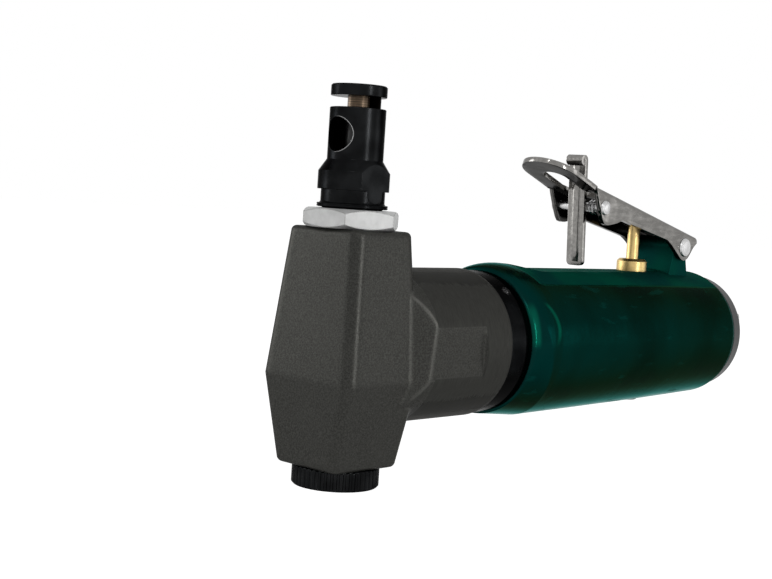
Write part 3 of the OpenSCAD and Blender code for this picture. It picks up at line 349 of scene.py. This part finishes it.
def bright_plate(name, colour):
    """Bright nickel plate: polishing haze, long waves, painted shade inside the channel and underneath, and
    painted highlights on its edges.
    """
    f = Finish(name)
    facing = f.parts(f.node("ShaderNodeNewGeometry", output="Normal"))[2]
    wave = f.grain(7 * MM, 1.0)
    haze = f.grain(1.1 * MM, 3.0, scale=(0.3, 1, 1))
    spots = f.grain(0.5 * MM, 2.0).band(0.6, 0.8)
    skin = f.mix(haze.band(0.35, 0.7), tone(colour, 0.85), tone(colour, 1.15))
    lengthways, across = f.parts(f.place())[:2]
    # Painted shade: the inner faces of the channel, then every face that looks down.
    painted_channel_shade = across.absolute().near(CHANNEL_SIDE, 0.55 * MM, 0.75 * MM)
    painted_channel_shade = painted_channel_shade * lengthways.band(CHANNEL_FROM, CHANNEL_FROM + 1 * MM) * facing.until(0.1, 0.4)
    skin = f.mix(painted_channel_shade, skin, tone(colour, 0.12))
    skin = f.mix(facing.band(-0.75, 0.15), tone(colour, 0.12), skin)
    # Painted highlight on the edges.
    skin = f.mix(f.edges(0.5 * MM, 0.02, 0.3) * 0.4, skin, tone(colour, 1.7))
    return f.surface(base_color=skin, metallic=1.0, specular_tint=(0.6, 0.6, 0.6, 1.0),
                     roughness=0.1 + haze * 0.1 + spots * 0.12,
                     normal=f.bump(wave, 0.3 * MM, 0.7, f.bump(haze, 0.004 * MM, 0.3)))


def ground_metal(name, colour, rough, stretch, depth=0.02):
    """Machined metal with fine lines along one way and faint tarnish."""
    f = Finish(name)
    lines = f.grain(0.25 * MM, 2.0, scale=stretch)
    cloud = f.grain(5 * MM, 3.0)
    skin = f.mix(cloud.band(0.25, 0.75), tone(colour, 0.8), tone(colour, 1.12))
    skin = f.mix(lines.band(0.4, 0.7) * 0.3, skin, tone(colour, 0.6))
    return f.surface(base_color=skin, metallic=1.0, roughness=rough + lines * 0.14 + cloud * 0.06,
                     normal=f.bump(lines, depth * MM, 0.6))


def oiled_steel(name, colour):
    """Ground tool steel, turned in rings: straw brown where it works and near black lower down."""
    f = Finish(name)
    height = f.parts(f.place())[2]
    lines = f.grain(0.2 * MM, 2.0, scale=(0.1, 0.1, 1))
    ring_pitch = 0.62 * MM
    rings = (height * (math.tau / ring_pitch) + lines * 3.0).sine().band(-1.0, 1.0)
    cloud = f.grain(2.5 * MM, 3.0)
    skin = f.mix(rings, tone(colour, 0.55), tone(colour, 1.3))
    skin = f.mix(cloud.band(0.35, 0.7) * 0.5, skin, tone(colour, 0.5))
    # Near black and not metallic towards the bottom, straw brown above.
    upper_part = height.band(PUNCH_DARK_BELOW, PUNCH_BROWN_ABOVE)
    skin = f.mix(upper_part, (0.006, 0.006, 0.006), skin)
    return f.surface(base_color=skin, metallic=upper_part * 0.85, roughness=0.32 + lines * 0.15,
                     specular_ior_level=0.3, normal=f.bump(lines, 0.05 * MM, 0.6))


def dull_stuff(name, colour, grain_size, rough, depth):
    """Rubber, felt, laminate or moulded plastic: matt, with a grain of its own."""
    f = Finish(name)
    fine = f.grain(grain_size, 4.0, rough=0.65)
    cloud = f.grain(grain_size * 14, 2.0)
    skin = f.mix(fine.band(0.3, 0.7), tone(colour, 0.75), tone(colour, 1.3))
    skin = f.mix(cloud.band(0.4, 0.8) * 0.3, skin, tone(colour, 1.5))
    return f.surface(base_color=skin, roughness=rough + fine * 0.15, specular_ior_level=0.3,
                     normal=f.bump(fine, depth * MM, 0.6))


FINISHES = {}
SLOT_OF = {s["node"]: s["material_slot"] for s in frame["record"]["subparts"]}


def finish(slot):
    """The material of one of the record's slots, made on first use."""
    if slot not in FINISHES:
        looks = bpy.context.scene.nibbler_finishes
        makers = {
            "head_paint": lambda n: cast_paint(n, looks.head, looks.grain, 0.05 * MM),
            "housing_paint": lambda n: gloss_paint(n, looks.housing, tone(looks.housing, 0.7), looks.glint),
            "black_oxide": lambda n: oxide(n, looks.oxide, looks.steel),
            "bright_zinc": lambda n: zinc(n, looks.zinc),
            "lever_chrome": lambda n: bright_plate(n, looks.plate),
            "tool_steel": lambda n: oiled_steel(n, looks.punch),
            "bare_steel": lambda n: ground_metal(n, looks.steel, 0.22, (1, 1, 0.2)),
            "forged_steel": lambda n: ground_metal(n, tone(looks.steel, 0.45), 0.42, (0.5, 1, 1), 0.04),
            "bronze": lambda n: ground_metal(n, looks.bronze, 0.34, (0.2, 0.2, 1)),
            "motor_iron": lambda n: ground_metal(n, tone(looks.steel, 0.6), 0.45, (1, 0.2, 0.2), 0.04),
            "vane_laminate": lambda n: dull_stuff(n, looks.laminate, 0.5 * MM, 0.55, 0.04),
            "valve_brass": lambda n: ground_metal(n, looks.brass, 0.25, (0.2, 0.2, 1)),
            "seal_rubber": lambda n: dull_stuff(n, looks.rubber, 0.3 * MM, 0.6, 0.03),
            "silencer_felt": lambda n: dull_stuff(n, looks.felt, 0.4 * MM, 0.9, 0.15),
            "cap_black": lambda n: dull_stuff(n, looks.oxide, 0.4 * MM, 0.38, 0.02),
        }
        FINISHES[slot] = makers[slot](slot)
    return FINISHES[slot]


def dress(*names):
    """Gives CAD nodes the finish of their own slot."""
    for name in names:
        slots = NODES[name].material_slots
        for slot in slots:
            slot.material = finish(SLOT_OF[name])
        if not slots:
            NODES[name].data.materials.append(finish(SLOT_OF[name]))


def new_piece(name, mesh, body, slot, *replaced):
    """Puts a finished mesh in the scene as a piece that rides on a body."""
    made = bpy.data.objects.new(name, mesh)
    bpy.context.scene.collection.objects.link(made)
    if not mesh.materials:
        mesh.materials.append(finish(slot))
    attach(made, body)
    if replaced:
        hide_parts(*replaced)


def plain_mesh(made):
    """The mesh that an object's modifiers give; the object itself goes."""
    graph = bpy.context.evaluated_depsgraph_get()
    mesh = bpy.data.meshes.new_from_object(made.evaluated_get(graph))
    name, before = made.name, made.data
    bpy.data.objects.remove(made)
    bpy.data.meshes.remove(before)
    mesh.name = name
    return mesh


# Geometry Nodes

class Tree:
    """A Geometry Nodes tree with named inputs for its sizes."""

    def __init__(self, name, sizes):
        self.group = bpy.data.node_groups.new(name, "GeometryNodeTree")
        self.group.interface.new_socket("Geometry", in_out="OUTPUT", socket_type="NodeSocketGeometry")
        self.sizes = {}
        for label, value in sizes.items():
            kind = "NodeSocketInt" if isinstance(value, int) else "NodeSocketFloat"
            socket = self.group.interface.new_socket(label, in_out="INPUT", socket_type=kind)
            socket.default_value = value
            self.sizes[label] = (socket.identifier, value)
        self.start = self.group.nodes.new("NodeGroupInput")
        self.end = self.group.nodes.new("NodeGroupOutput")

    def size(self, label):
        """The output that carries one of the sizes."""
        return self.start.outputs[label]

    def add(self, kind, settings=None, **inputs):
        """Adds a node with its settings, values and links, and gives its first output."""
        made = self.group.nodes.new(kind)
        for key, value in (settings or {}).items():
            setattr(made, key, value)
        for key, value in inputs.items():
            socket = made.inputs[key.replace("_", " ")]
            if isinstance(value, bpy.types.NodeSocket):
                self.group.links.new(value, socket)
            else:
                socket.default_value = value
        return made.outputs[0]

    def finish_on(self, geometry, material, place):
        """Ends the tree, runs it and returns its mesh, placed by a matrix."""
        real = self.add("GeometryNodeRealizeInstances", Geometry=geometry)
        self.group.links.new(self.add("GeometryNodeSetMaterial", Geometry=real, Material=material),
                             self.end.inputs[0])
        made = bpy.data.objects.new(self.group.name, bpy.data.meshes.new(self.group.name))
        bpy.context.scene.collection.objects.link(made)
        modifier = made.modifiers.new("build", "NODES")
        modifier.node_group = self.group
        for identifier, value in self.sizes.values():
            modifier[identifier] = value
        mesh = plain_mesh(made)
        mesh.transform(place)
        return mesh


def thread_rings(name, radius, pitch, count, height, place, slot):
    """Turns of a thread seen from the side: rounded crests of one height, stacked at the pitch."""
    tree = Tree(name, {"Thread Radius": radius, "Pitch": pitch, "Turns": count, "Crest": height})
    line = tree.add("GeometryNodeMeshLine", {"mode": "OFFSET"}, Count=tree.size("Turns"))
    offset = tree.add("ShaderNodeCombineXYZ", None, Z=tree.size("Pitch"))
    tree.group.links.new(offset, line.node.inputs["Offset"])
    ring = tree.add("GeometryNodeCurvePrimitiveCircle", {"mode": "RADIUS"}, Resolution=96,
                    Radius=tree.size("Thread Radius"))
    crest = tree.add("GeometryNodeCurvePrimitiveCircle", {"mode": "RADIUS"}, Resolution=8,
                     Radius=tree.size("Crest"))
    turn = tree.add("GeometryNodeCurveToMesh", None, Curve=ring, Profile_Curve=crest)
    smooth = tree.add("GeometryNodeSetShadeSmooth", None, Geometry=turn)
    stack = tree.add("GeometryNodeInstanceOnPoints", None, Points=line, Instance=smooth)
    return tree.finish_on(stack, finish(slot), place)


# Formed sheet

def along(points, x):
    """Height at x of a line through points."""
    for (x0, z0), (x1, z1) in zip(points, points[1:]):
        if x <= x1:
            return z0 + (z1 - z0) * max(0.0, x - x0) / (x1 - x0)
    return points[-1][1]


def loft(name, rows):
    """Joins rows of points into a sheet; points that fall together are welded."""
    count = len(rows[0])
    faces = [(i * count + j, i * count + j + 1, (i + 1) * count + j + 1, (i + 1) * count + j)
             for i in range(len(rows) - 1) for j in range(count - 1)]
    mesh = bpy.data.meshes.new(name)
    mesh.from_pydata([Vector(p) * MM for row in rows for p in row], [], faces)
    work = bmesh.new()
    work.from_mesh(mesh)
    bmesh.ops.remove_doubles(work, verts=work.verts, dist=WELD)
    bmesh.ops.dissolve_degenerate(work, edges=work.edges, dist=WELD / 2)
    work.to_mesh(mesh)
    work.free()
    return mesh


def sheet_metal(name, meshes, thick, offset, rim):
    """Gives lofted sheets a thickness, inwards at offset -1, and round rims, as one plain mesh."""
    work = bmesh.new()
    for mesh in meshes:
        work.from_mesh(mesh)
        bpy.data.meshes.remove(mesh)
    bmesh.ops.remove_doubles(work, verts=work.verts, dist=WELD)
    joined = bpy.data.meshes.new(name)
    work.to_mesh(joined)
    work.free()
    made = bpy.data.objects.new(name, joined)
    bpy.context.scene.collection.objects.link(made)
    wall = made.modifiers.new("wall", "SOLIDIFY")
    wall.thickness, wall.offset, wall.use_even_offset = thick * MM, offset, True
    soft = made.modifiers.new("rim", "BEVEL")
    soft.width, soft.segments, soft.limit_method, soft.angle_limit = rim * MM, 3, "ANGLE", math.radians(50)
    joined.shade_smooth()
    return plain_mesh(made)


class LeverForm:
    """Sizes of the bent throttle lever in mm, with heights over the handle axis."""
    tip_x, tip_z = 77.0, 55.0
    bend_x, bend_z = 97.0, 47.6
    ear_x, slope = 146.0, 0.24
    half_w, thick, bend_r, soft, rim_r = 9.25, 1.5, 1.6, 3.0, 0.38
    slot_from, slot_to, slot_r = 84.5, 104.9, 4.0
    spring_from, spring_y = 99.3, 7.0
    flange = [(97.0, 47.0), (97.9, 44.4), (99.5, 40.6), (101.1, 37.4), (102.2, 36.1), (103.6, 35.7),
              (107, 35.8), (112, 37.4), (140, 31.7), (146, 27.3), (148.2, 25.6), (150, 25.1),
              (152.2, 25.7), (154, 27.6), (155.6, 29.6), (157.5, 31.0)]

    def top(self, x):
        """Height of the top face: two slopes with a soft bend between them."""
        front = (self.tip_z - self.bend_z) / (self.bend_x - self.tip_x)
        away = x - self.bend_x
        eased = 0.25 * (math.sqrt(away ** 2 + self.soft ** 2) - abs(away))
        return self.bend_z - away * (front if away < 0 else self.slope) - eased * (front - self.slope)

    def half(self, x):
        """Half width: full behind the rounded tip."""
        away = max(0.0, self.tip_x + self.half_w - x)
        return math.sqrt(max(0.0, self.half_w ** 2 - away ** 2))

    def slot(self, x, way):
        """Half width of the slot on one side of the middle."""
        if not self.slot_from < x < self.slot_to:
            return 0.0
        if way < 0 and x > self.spring_from:
            return self.spring_y
        away = max(0.0, self.slot_from + self.slot_r - x)
        return math.sqrt(max(0.0, self.slot_r ** 2 - away ** 2))

    def stations(self):
        """Places along the lever, close together where its outline turns."""
        tip = [self.tip_x + self.half_w * (1 - math.cos(math.radians(a))) for a in range(0, 91, 6)]
        nose = [self.slot_from + self.slot_r * (1 - math.cos(math.radians(a))) for a in range(0, 91, 9)]
        edges = [x + side for x in (self.slot_to, self.spring_from) for side in (-0.002, 0.002)]
        even = [self.bend_x - 4 + 0.4 * k for k in range(29)] + list(range(109, 157, 3))
        ear = [self.ear_x + 0.5 * k for k in range(24)]
        return sorted(set(round(x, 4) for x in tip + nose + edges + even + ear))

    def row(self, x, way):
        """One half of the section at x, from the slot out, round the bend and down the flange."""
        top, half = self.top(x), self.half(x)
        depth = max(0.0, top - along(self.flange, x)) if x > self.bend_x else 0.0
        bend = min(self.bend_r, depth, half)
        inner = min(self.slot(x, way), half)
        flat = [inner + (half - bend - inner) * k / 4 for k in range(5)]
        points = [(y, top) for y in flat]
        points += [(half - bend + bend * math.sin(a), top - bend + bend * math.cos(a))
                   for a in (math.radians(15 * k) for k in range(1, 7))]
        points += [(half, top - bend - (depth - bend) * k / 4) for k in range(1, 5)]
        return [(x, way * y, z + AXIS_Z / MM) for y, z in points]


def lever_sheet():
    """The throttle lever: a bent channel with a rounded tip and a slot for the latch."""
    form = LeverForm()
    halves = []
    for way in (1, -1):
        rows = [form.row(x, way) for x in form.stations()]
        halves.append(loft("lever_half", rows if way < 0 else rows[::-1]))
    mesh = sheet_metal("lever_sheet", halves, form.thick, -1.0, form.rim_r)
    new_piece("lever_sheet", mesh, "lever_body", "lever_chrome", "throttle_lever")


def held(value):
    """A number kept between 0 and 1."""
    return min(1.0, max(0.0, value))


class LatchForm:
    """Sizes of the safety latch in mm, with heights over the handle axis."""
    foot, neck = (101.3, 22.5), (99.2, 55.3)
    curl_r, half_w, thick, rim_r = 0.95, 3.0, 1.45, 0.42
    corner, rib_w, rib_h = 1.4, 1.15, 0.3
    rib_from, rib_rise, rib_fall, rib_side = 1.6, 1.5, 2.0, 0.7

    def line(self):
        """Middle line of the strip from the foot up and round the curl, with the way across it."""
        (x0, z0), (x1, z1) = self.foot, self.neck
        length = math.hypot(x1 - x0, z1 - z0)
        way = ((x1 - x0) / length, (z1 - z0) / length)
        steps = [self.corner * (1 - math.cos(math.radians(a))) for a in range(0, 91, 10)]
        steps += [self.corner + (length - self.corner) * k / 24 for k in range(1, 25)]
        points = [((x0 + way[0] * s, z0 + way[1] * s), (-way[1], way[0]), s) for s in steps]
        middle = (x1 - self.curl_r, z1)
        for a in range(15, 300, 15):
            out = (math.cos(math.radians(a)), math.sin(math.radians(a)))
            points.append(((middle[0] + self.curl_r * out[0], middle[1] + self.curl_r * out[1]),
                           (-out[0], -out[1]), length))
        return points, length

    def half(self, s):
        """Half width at s from the foot, whose corners are round."""
        away = max(0.0, self.corner - s)
        return self.half_w - self.corner + math.sqrt(max(0.0, self.corner ** 2 - away ** 2))

    def raised(self, y, s, length):
        """Height of the stiffening rib, which fades out at both ends."""
        fade = held((s - self.rib_from) / self.rib_rise) * held((length - self.rib_fall - s) / self.rib_fall)
        side = held((self.rib_w + self.rib_side / 2 - abs(y)) / self.rib_side)
        return self.rib_h * fade * side * side * (3 - 2 * side)


def latch_strip():
    """The safety latch: a ribbed strip with a round-cornered foot and a curled head."""
    form = LatchForm()
    points, length = form.line()
    rows = []
    for (x, z), across, s in points:
        half = form.half(s)
        ys = [half * k / 12 for k in range(-12, 13)]
        rows.append([(x + across[0] * form.raised(y, s, length), y,
                      z + across[1] * form.raised(y, s, length) + AXIS_Z / MM) for y in ys])
    mesh = sheet_metal("latch_strip", [loft("latch", rows)], form.thick, 0.0, form.rim_r)
    new_piece("latch_strip", mesh, "latch_body", "lever_chrome", "safety_latch")


# Sizes and colours that a user would change

class NibblerFinishes(bpy.types.PropertyGroup):
    """Colours of the tool's finishes"""
    head: FloatVectorProperty(name="Head", description="Paint of the head casting", subtype="COLOR",
                              size=3, min=0, max=1, default=(0.046, 0.046, 0.0425))
    housing: FloatVectorProperty(name="Housing", description="Lacquer of the grip housing", subtype="COLOR",
                                 size=3, min=0, max=1, default=(0.0016, 0.022, 0.0195))
    glint: FloatVectorProperty(name="Glint", description="Colour of light streaks and dust in the lacquer",
                               subtype="COLOR", size=3, min=0, max=1, default=(0.01, 0.42, 0.27))
    oxide: FloatVectorProperty(name="Black steel", description="Die holder, die, cap and coupling ring",
                               subtype="COLOR", size=3, min=0, max=1, default=(0.008, 0.0084, 0.0088))
    zinc: FloatVectorProperty(name="Zinc", description="Lock nut and inlet bushing", subtype="COLOR",
                              size=3, min=0, max=1, default=(0.6, 0.605, 0.6))
    plate: FloatVectorProperty(name="Bright plate", description="Throttle lever and safety latch",
                               subtype="COLOR", size=3, min=0, max=1, default=(0.22, 0.214, 0.204))
    punch: FloatVectorProperty(name="Punch", description="Ground tool steel", subtype="COLOR",
                               size=3, min=0, max=1, default=(0.11, 0.078, 0.052))
    steel: FloatVectorProperty(name="Steel", description="Bare steel of pins and bearings", subtype="COLOR",
                               size=3, min=0, max=1, default=(0.52, 0.52, 0.52))
    bronze: FloatVectorProperty(name="Bronze", description="Guide and carrier bush", subtype="COLOR",
                                size=3, min=0, max=1, default=(0.52, 0.33, 0.13))
    brass: FloatVectorProperty(name="Brass", description="Throttle valve", subtype="COLOR",
                               size=3, min=0, max=1, default=(0.62, 0.45, 0.19))
    laminate: FloatVectorProperty(name="Laminate", description="Motor vanes", subtype="COLOR",
                                  size=3, min=0, max=1, default=(0.16, 0.08, 0.035))
    rubber: FloatVectorProperty(name="Rubber", description="Seals", subtype="COLOR",
                                size=3, min=0, max=1, default=(0.015, 0.015, 0.015))
    felt: FloatVectorProperty(name="Felt", description="Exhaust silencer", subtype="COLOR",
                              size=3, min=0, max=1, default=(0.3, 0.28, 0.22))
    grain: FloatProperty(name="Casting grain", description="Size of the speckle on the head",
                         default=0.45 * MM, min=0.1 * MM, max=3 * MM, unit="LENGTH", precision=5)


class NibblerThreads(bpy.types.PropertyGroup):
    """Size of the thread that shows"""
    thread_pitch: FloatProperty(name="Thread pitch", description="Pitch of the die holder's thread",
                                default=0.55 * MM, min=0.3 * MM, max=2 * MM, unit="LENGTH", precision=5)


class NibblerStudio(bpy.types.PropertyGroup):
    """Brightness of the lamps and the surroundings"""
    side: FloatProperty(name="Side strip", description="Brightness of the strip at the near side",
                        default=22.5, min=0, max=50)
    left: FloatProperty(name="Left box", description="Brightness of the large box left of the head",
                        default=4.5, min=0, max=50)
    right: FloatProperty(name="Right box", description="Brightness of the box beyond the handle",
                         default=1.6, min=0, max=50)
    front: FloatProperty(name="Front lamp", description="Brightness of the small lamp over the camera",
                         default=14.0, min=0, max=50)
    room: FloatProperty(name="Room", description="Strength of the plain surroundings",
                        default=0.2, min=0, max=3)
    backdrop: FloatVectorProperty(name="Backdrop", description="Colour behind the tool", subtype="COLOR",
                                  size=3, min=0, max=1, default=(1.0, 1.0, 1.0))


# Operators

class NIBBLER_OT_head(bpy.types.Operator):
    """Finishes the head casting and its bottom cap"""
    bl_idname = "nibbler.head"
    bl_label = "Head and cap"

    def execute(self, context):
        dress("head_casting", "head_cap", "cap_seal")
        return {"FINISHED"}


class NIBBLER_OT_die_set(bpy.types.Operator):
    """Finishes the die, its holder, the lock nut and the punch"""
    bl_idname = "nibbler.die_set"
    bl_label = "Die set"

    def execute(self, context):
        dress("lock_nut", "die_holder", "die", "die_screw", "punch_guide", "punch", "punch_pin")
        pitch = context.scene.nibbler_threads.thread_pitch
        turns = max(1, int(FOOT_H / pitch))
        mesh = thread_rings("foot_thread", FOOT_R - CREST_SINK, pitch, turns, CREST_R,
                            Matrix.Translation((0, 0, FOOT_Z + FIRST_CREST)), "black_oxide")
        new_piece("foot_thread", mesh, "housing", "black_oxide")
        return {"FINISHED"}


class NIBBLER_OT_drive(bpy.types.Operator):
    """Finishes the crank, its bearings and the planetary gears"""
    bl_idname = "nibbler.drive"
    bl_label = "Crank and gears"

    def execute(self, context):
        dress("punch_carrier", "carrier_bush", "crank_roller", "crank_shaft", "crank_bearings",
              "ring_gear", "planet_gear_1", "planet_gear_2", "planet_gear_3", "planet_pins",
              "rotor_pinion")
        return {"FINISHED"}


class NIBBLER_OT_motor(bpy.types.Operator):
    """Finishes the vane motor"""
    bl_idname = "nibbler.motor"
    bl_label = "Vane motor"

    def execute(self, context):
        dress("front_plate", "front_bearing", "cylinder_liner", "rotor", "vanes", "rear_plate",
              "rear_bearing")
        return {"FINISHED"}


class NIBBLER_OT_housing(bpy.types.Operator):
    """Finishes the grip housing, the coupling ring and the rear end"""
    bl_idname = "nibbler.housing"
    bl_label = "Housing"

    def execute(self, context):
        dress("coupling_ring", "motor_housing", "exhaust_silencer", "rear_cap", "inlet_bushing",
              "inlet_seal")
        return {"FINISHED"}


class NIBBLER_OT_lever(bpy.types.Operator):
    """Finishes the throttle lever, the safety latch and their pins"""
    bl_idname = "nibbler.lever"
    bl_label = "Throttle lever"

    def execute(self, context):
        dress("pivot_pin", "latch_pin", "latch_spring")
        lever_sheet()
        latch_strip()
        return {"FINISHED"}


class NIBBLER_OT_valve(bpy.types.Operator):
    """Finishes the throttle valve"""
    bl_idname = "nibbler.valve"
    bl_label = "Throttle valve"

    def execute(self, context):
        dress("valve_stem", "valve_bushing", "valve_spring", "valve_plug", "valve_seals")
        return {"FINISHED"}


def camera_matrix(place, azimuth, elevation, roll):
    """Camera to world, from where it stands and which way it leans."""
    back = Vector((math.sin(azimuth) * math.cos(elevation), -math.cos(azimuth) * math.cos(elevation),
                   math.sin(elevation)))
    right = Vector((math.cos(azimuth), math.sin(azimuth), 0))
    up = back.cross(right)
    leaned = right * math.cos(roll) + up * math.sin(roll)
    upright = -right * math.sin(roll) + up * math.cos(roll)
    return Matrix((
        (leaned.x, upright.x, back.x, place[0]),
        (leaned.y, upright.y, back.y, place[1]),
        (leaned.z, upright.z, back.z, place[2]),
        (0, 0, 0, 1)))


def soft_light(name, place, target, size, glow):
    """A plain rectangular lamp, as bright as glow times a white wall."""
    lamp = bpy.data.lights.new(name, "AREA")
    lamp.shape = "RECTANGLE"
    lamp.size, lamp.size_y = size
    lamp.energy = glow * math.pi * size[0] * size[1]
    made = bpy.data.objects.new(name, lamp)
    bpy.context.scene.collection.objects.link(made)
    made.location = place
    made.rotation_euler = (target - place).to_track_quat("-Z", "Y").to_euler()


class NIBBLER_OT_stage(bpy.types.Operator):
    """Sets the floor, the surroundings, the lights and the camera"""
    bl_idname = "nibbler.stage"
    bl_label = "Studio and camera"

    def execute(self, context):
        studio = context.scene.nibbler_studio
        self.floor(context, studio)
        self.room(context, studio)
        centre = Vector((0.02, 0, 0.05))
        for name, way, size, glow in (
                ("side_strip", (0.02, -1.0, 0.06), (0.08, 0.8), studio.side),
                ("left_box", (-0.45, 0.89, 0.04), (0.5, 0.9), studio.left),
                ("right_box", (0.72, -0.68, -0.02), (0.3, 0.5), studio.right),
                ("front_lamp", (-0.7, -0.5, 0.75), (0.12, 0.12), studio.front)):
            soft_light(name, centre + Vector(way).normalized() * LAMP_DISTANCE, centre, size, glow)
        lens = bpy.data.cameras.new("photo_camera")
        lens.sensor_width = SENSOR_WIDTH
        lens.lens = FOCAL_PIXELS / PHOTO_SIZE[0] * SENSOR_WIDTH
        lens.clip_start = 0.01
        camera = bpy.data.objects.new("photo_camera", lens)
        context.scene.collection.objects.link(camera)
        camera.matrix_world = camera_matrix(CAMERA_PLACE, CAMERA_AZIMUTH, CAMERA_ELEVATION, CAMERA_ROLL)
        context.scene.camera = camera
        context.scene.view_settings.view_transform = "Standard"
        return {"FINISHED"}

    def floor(self, context, studio):
        """Pale paper that keeps the tool's shadow and glows towards the camera."""
        mesh = bpy.data.meshes.new("floor")
        corners = [(x * FLOOR_HALF, y * FLOOR_HALF, 0) for x, y in ((-1, -1), (1, -1), (1, 1), (-1, 1))]
        mesh.from_pydata(corners, [], [(0, 1, 2, 3)])
        made = bpy.data.objects.new("floor", mesh)
        context.scene.collection.objects.link(made)
        f = Finish("floor_paper")
        paper = f.node("ShaderNodeBsdfDiffuse", {}, {"Color": (FLOOR_GREY,) * 3})
        glow = f.node("ShaderNodeEmission", {}, {"Color": tuple(studio.backdrop),
                                                 "Strength": f.seen_directly() * FLOOR_GLOW})
        f.end("ShaderNodeOutputMaterial", f.node("ShaderNodeAddShader", {}, {0: paper, 1: glow}))
        mesh.materials.append(f.material)

    def room(self, context, studio):
        """Plain dim surroundings, which the camera sees as the backdrop."""
        world = bpy.data.worlds.new("room")
        s = Sheet(world)
        plain = s.node("ShaderNodeBackground", {}, {"Color": (1, 1, 1), "Strength": studio.room})
        white = s.node("ShaderNodeBackground", {}, {"Color": tuple(studio.backdrop)})
        seen = s.node("ShaderNodeMixShader", {}, {0: s.seen_directly(), 1: plain, 2: white})
        s.end("ShaderNodeOutputWorld", seen)
        context.scene.world = world


OPERATORS = (NIBBLER_OT_head, NIBBLER_OT_die_set, NIBBLER_OT_drive, NIBBLER_OT_motor,
             NIBBLER_OT_housing, NIBBLER_OT_lever, NIBBLER_OT_valve, NIBBLER_OT_stage)


class NIBBLER_PT_panel(bpy.types.Panel):
    """Lists the steps that dress the tool"""
    bl_idname = "NIBBLER_PT_panel"
    bl_label = "Air nibbler"
    bl_space_type = "VIEW_3D"
    bl_region_type = "UI"
    bl_category = "Nibbler"

    def draw(self, context):
        layout = self.layout
        for settings in (context.scene.nibbler_finishes, context.scene.nibbler_threads,
                         context.scene.nibbler_studio):
            box = layout.box()
            for key in settings.bl_rna.properties.keys():
                if key not in {"rna_type", "name"}:
                    box.prop(settings, key)
        for operator in OPERATORS:
            layout.operator(operator.bl_idname)


GROUPS = {"nibbler_finishes": NibblerFinishes, "nibbler_threads": NibblerThreads,
          "nibbler_studio": NibblerStudio}


def register():
    for group in GROUPS.values():
        bpy.utils.register_class(group)
    for name, group in GROUPS.items():
        setattr(bpy.types.Scene, name, PointerProperty(type=group))
    for operator in OPERATORS:
        bpy.utils.register_class(operator)
    bpy.utils.register_class(NIBBLER_PT_panel)


def unregister():
    bpy.utils.unregister_class(NIBBLER_PT_panel)
    for operator in reversed(OPERATORS):
        bpy.utils.unregister_class(operator)
    for name, group in reversed(GROUPS.items()):
        delattr(bpy.types.Scene, name)
        bpy.utils.unregister_class(group)


def main():
    register()
    for operator in OPERATORS:
        step = operator.bl_idname.split(".")[1]
        getattr(bpy.ops.nibbler, step)()


if __name__ == "__main__":
    main()
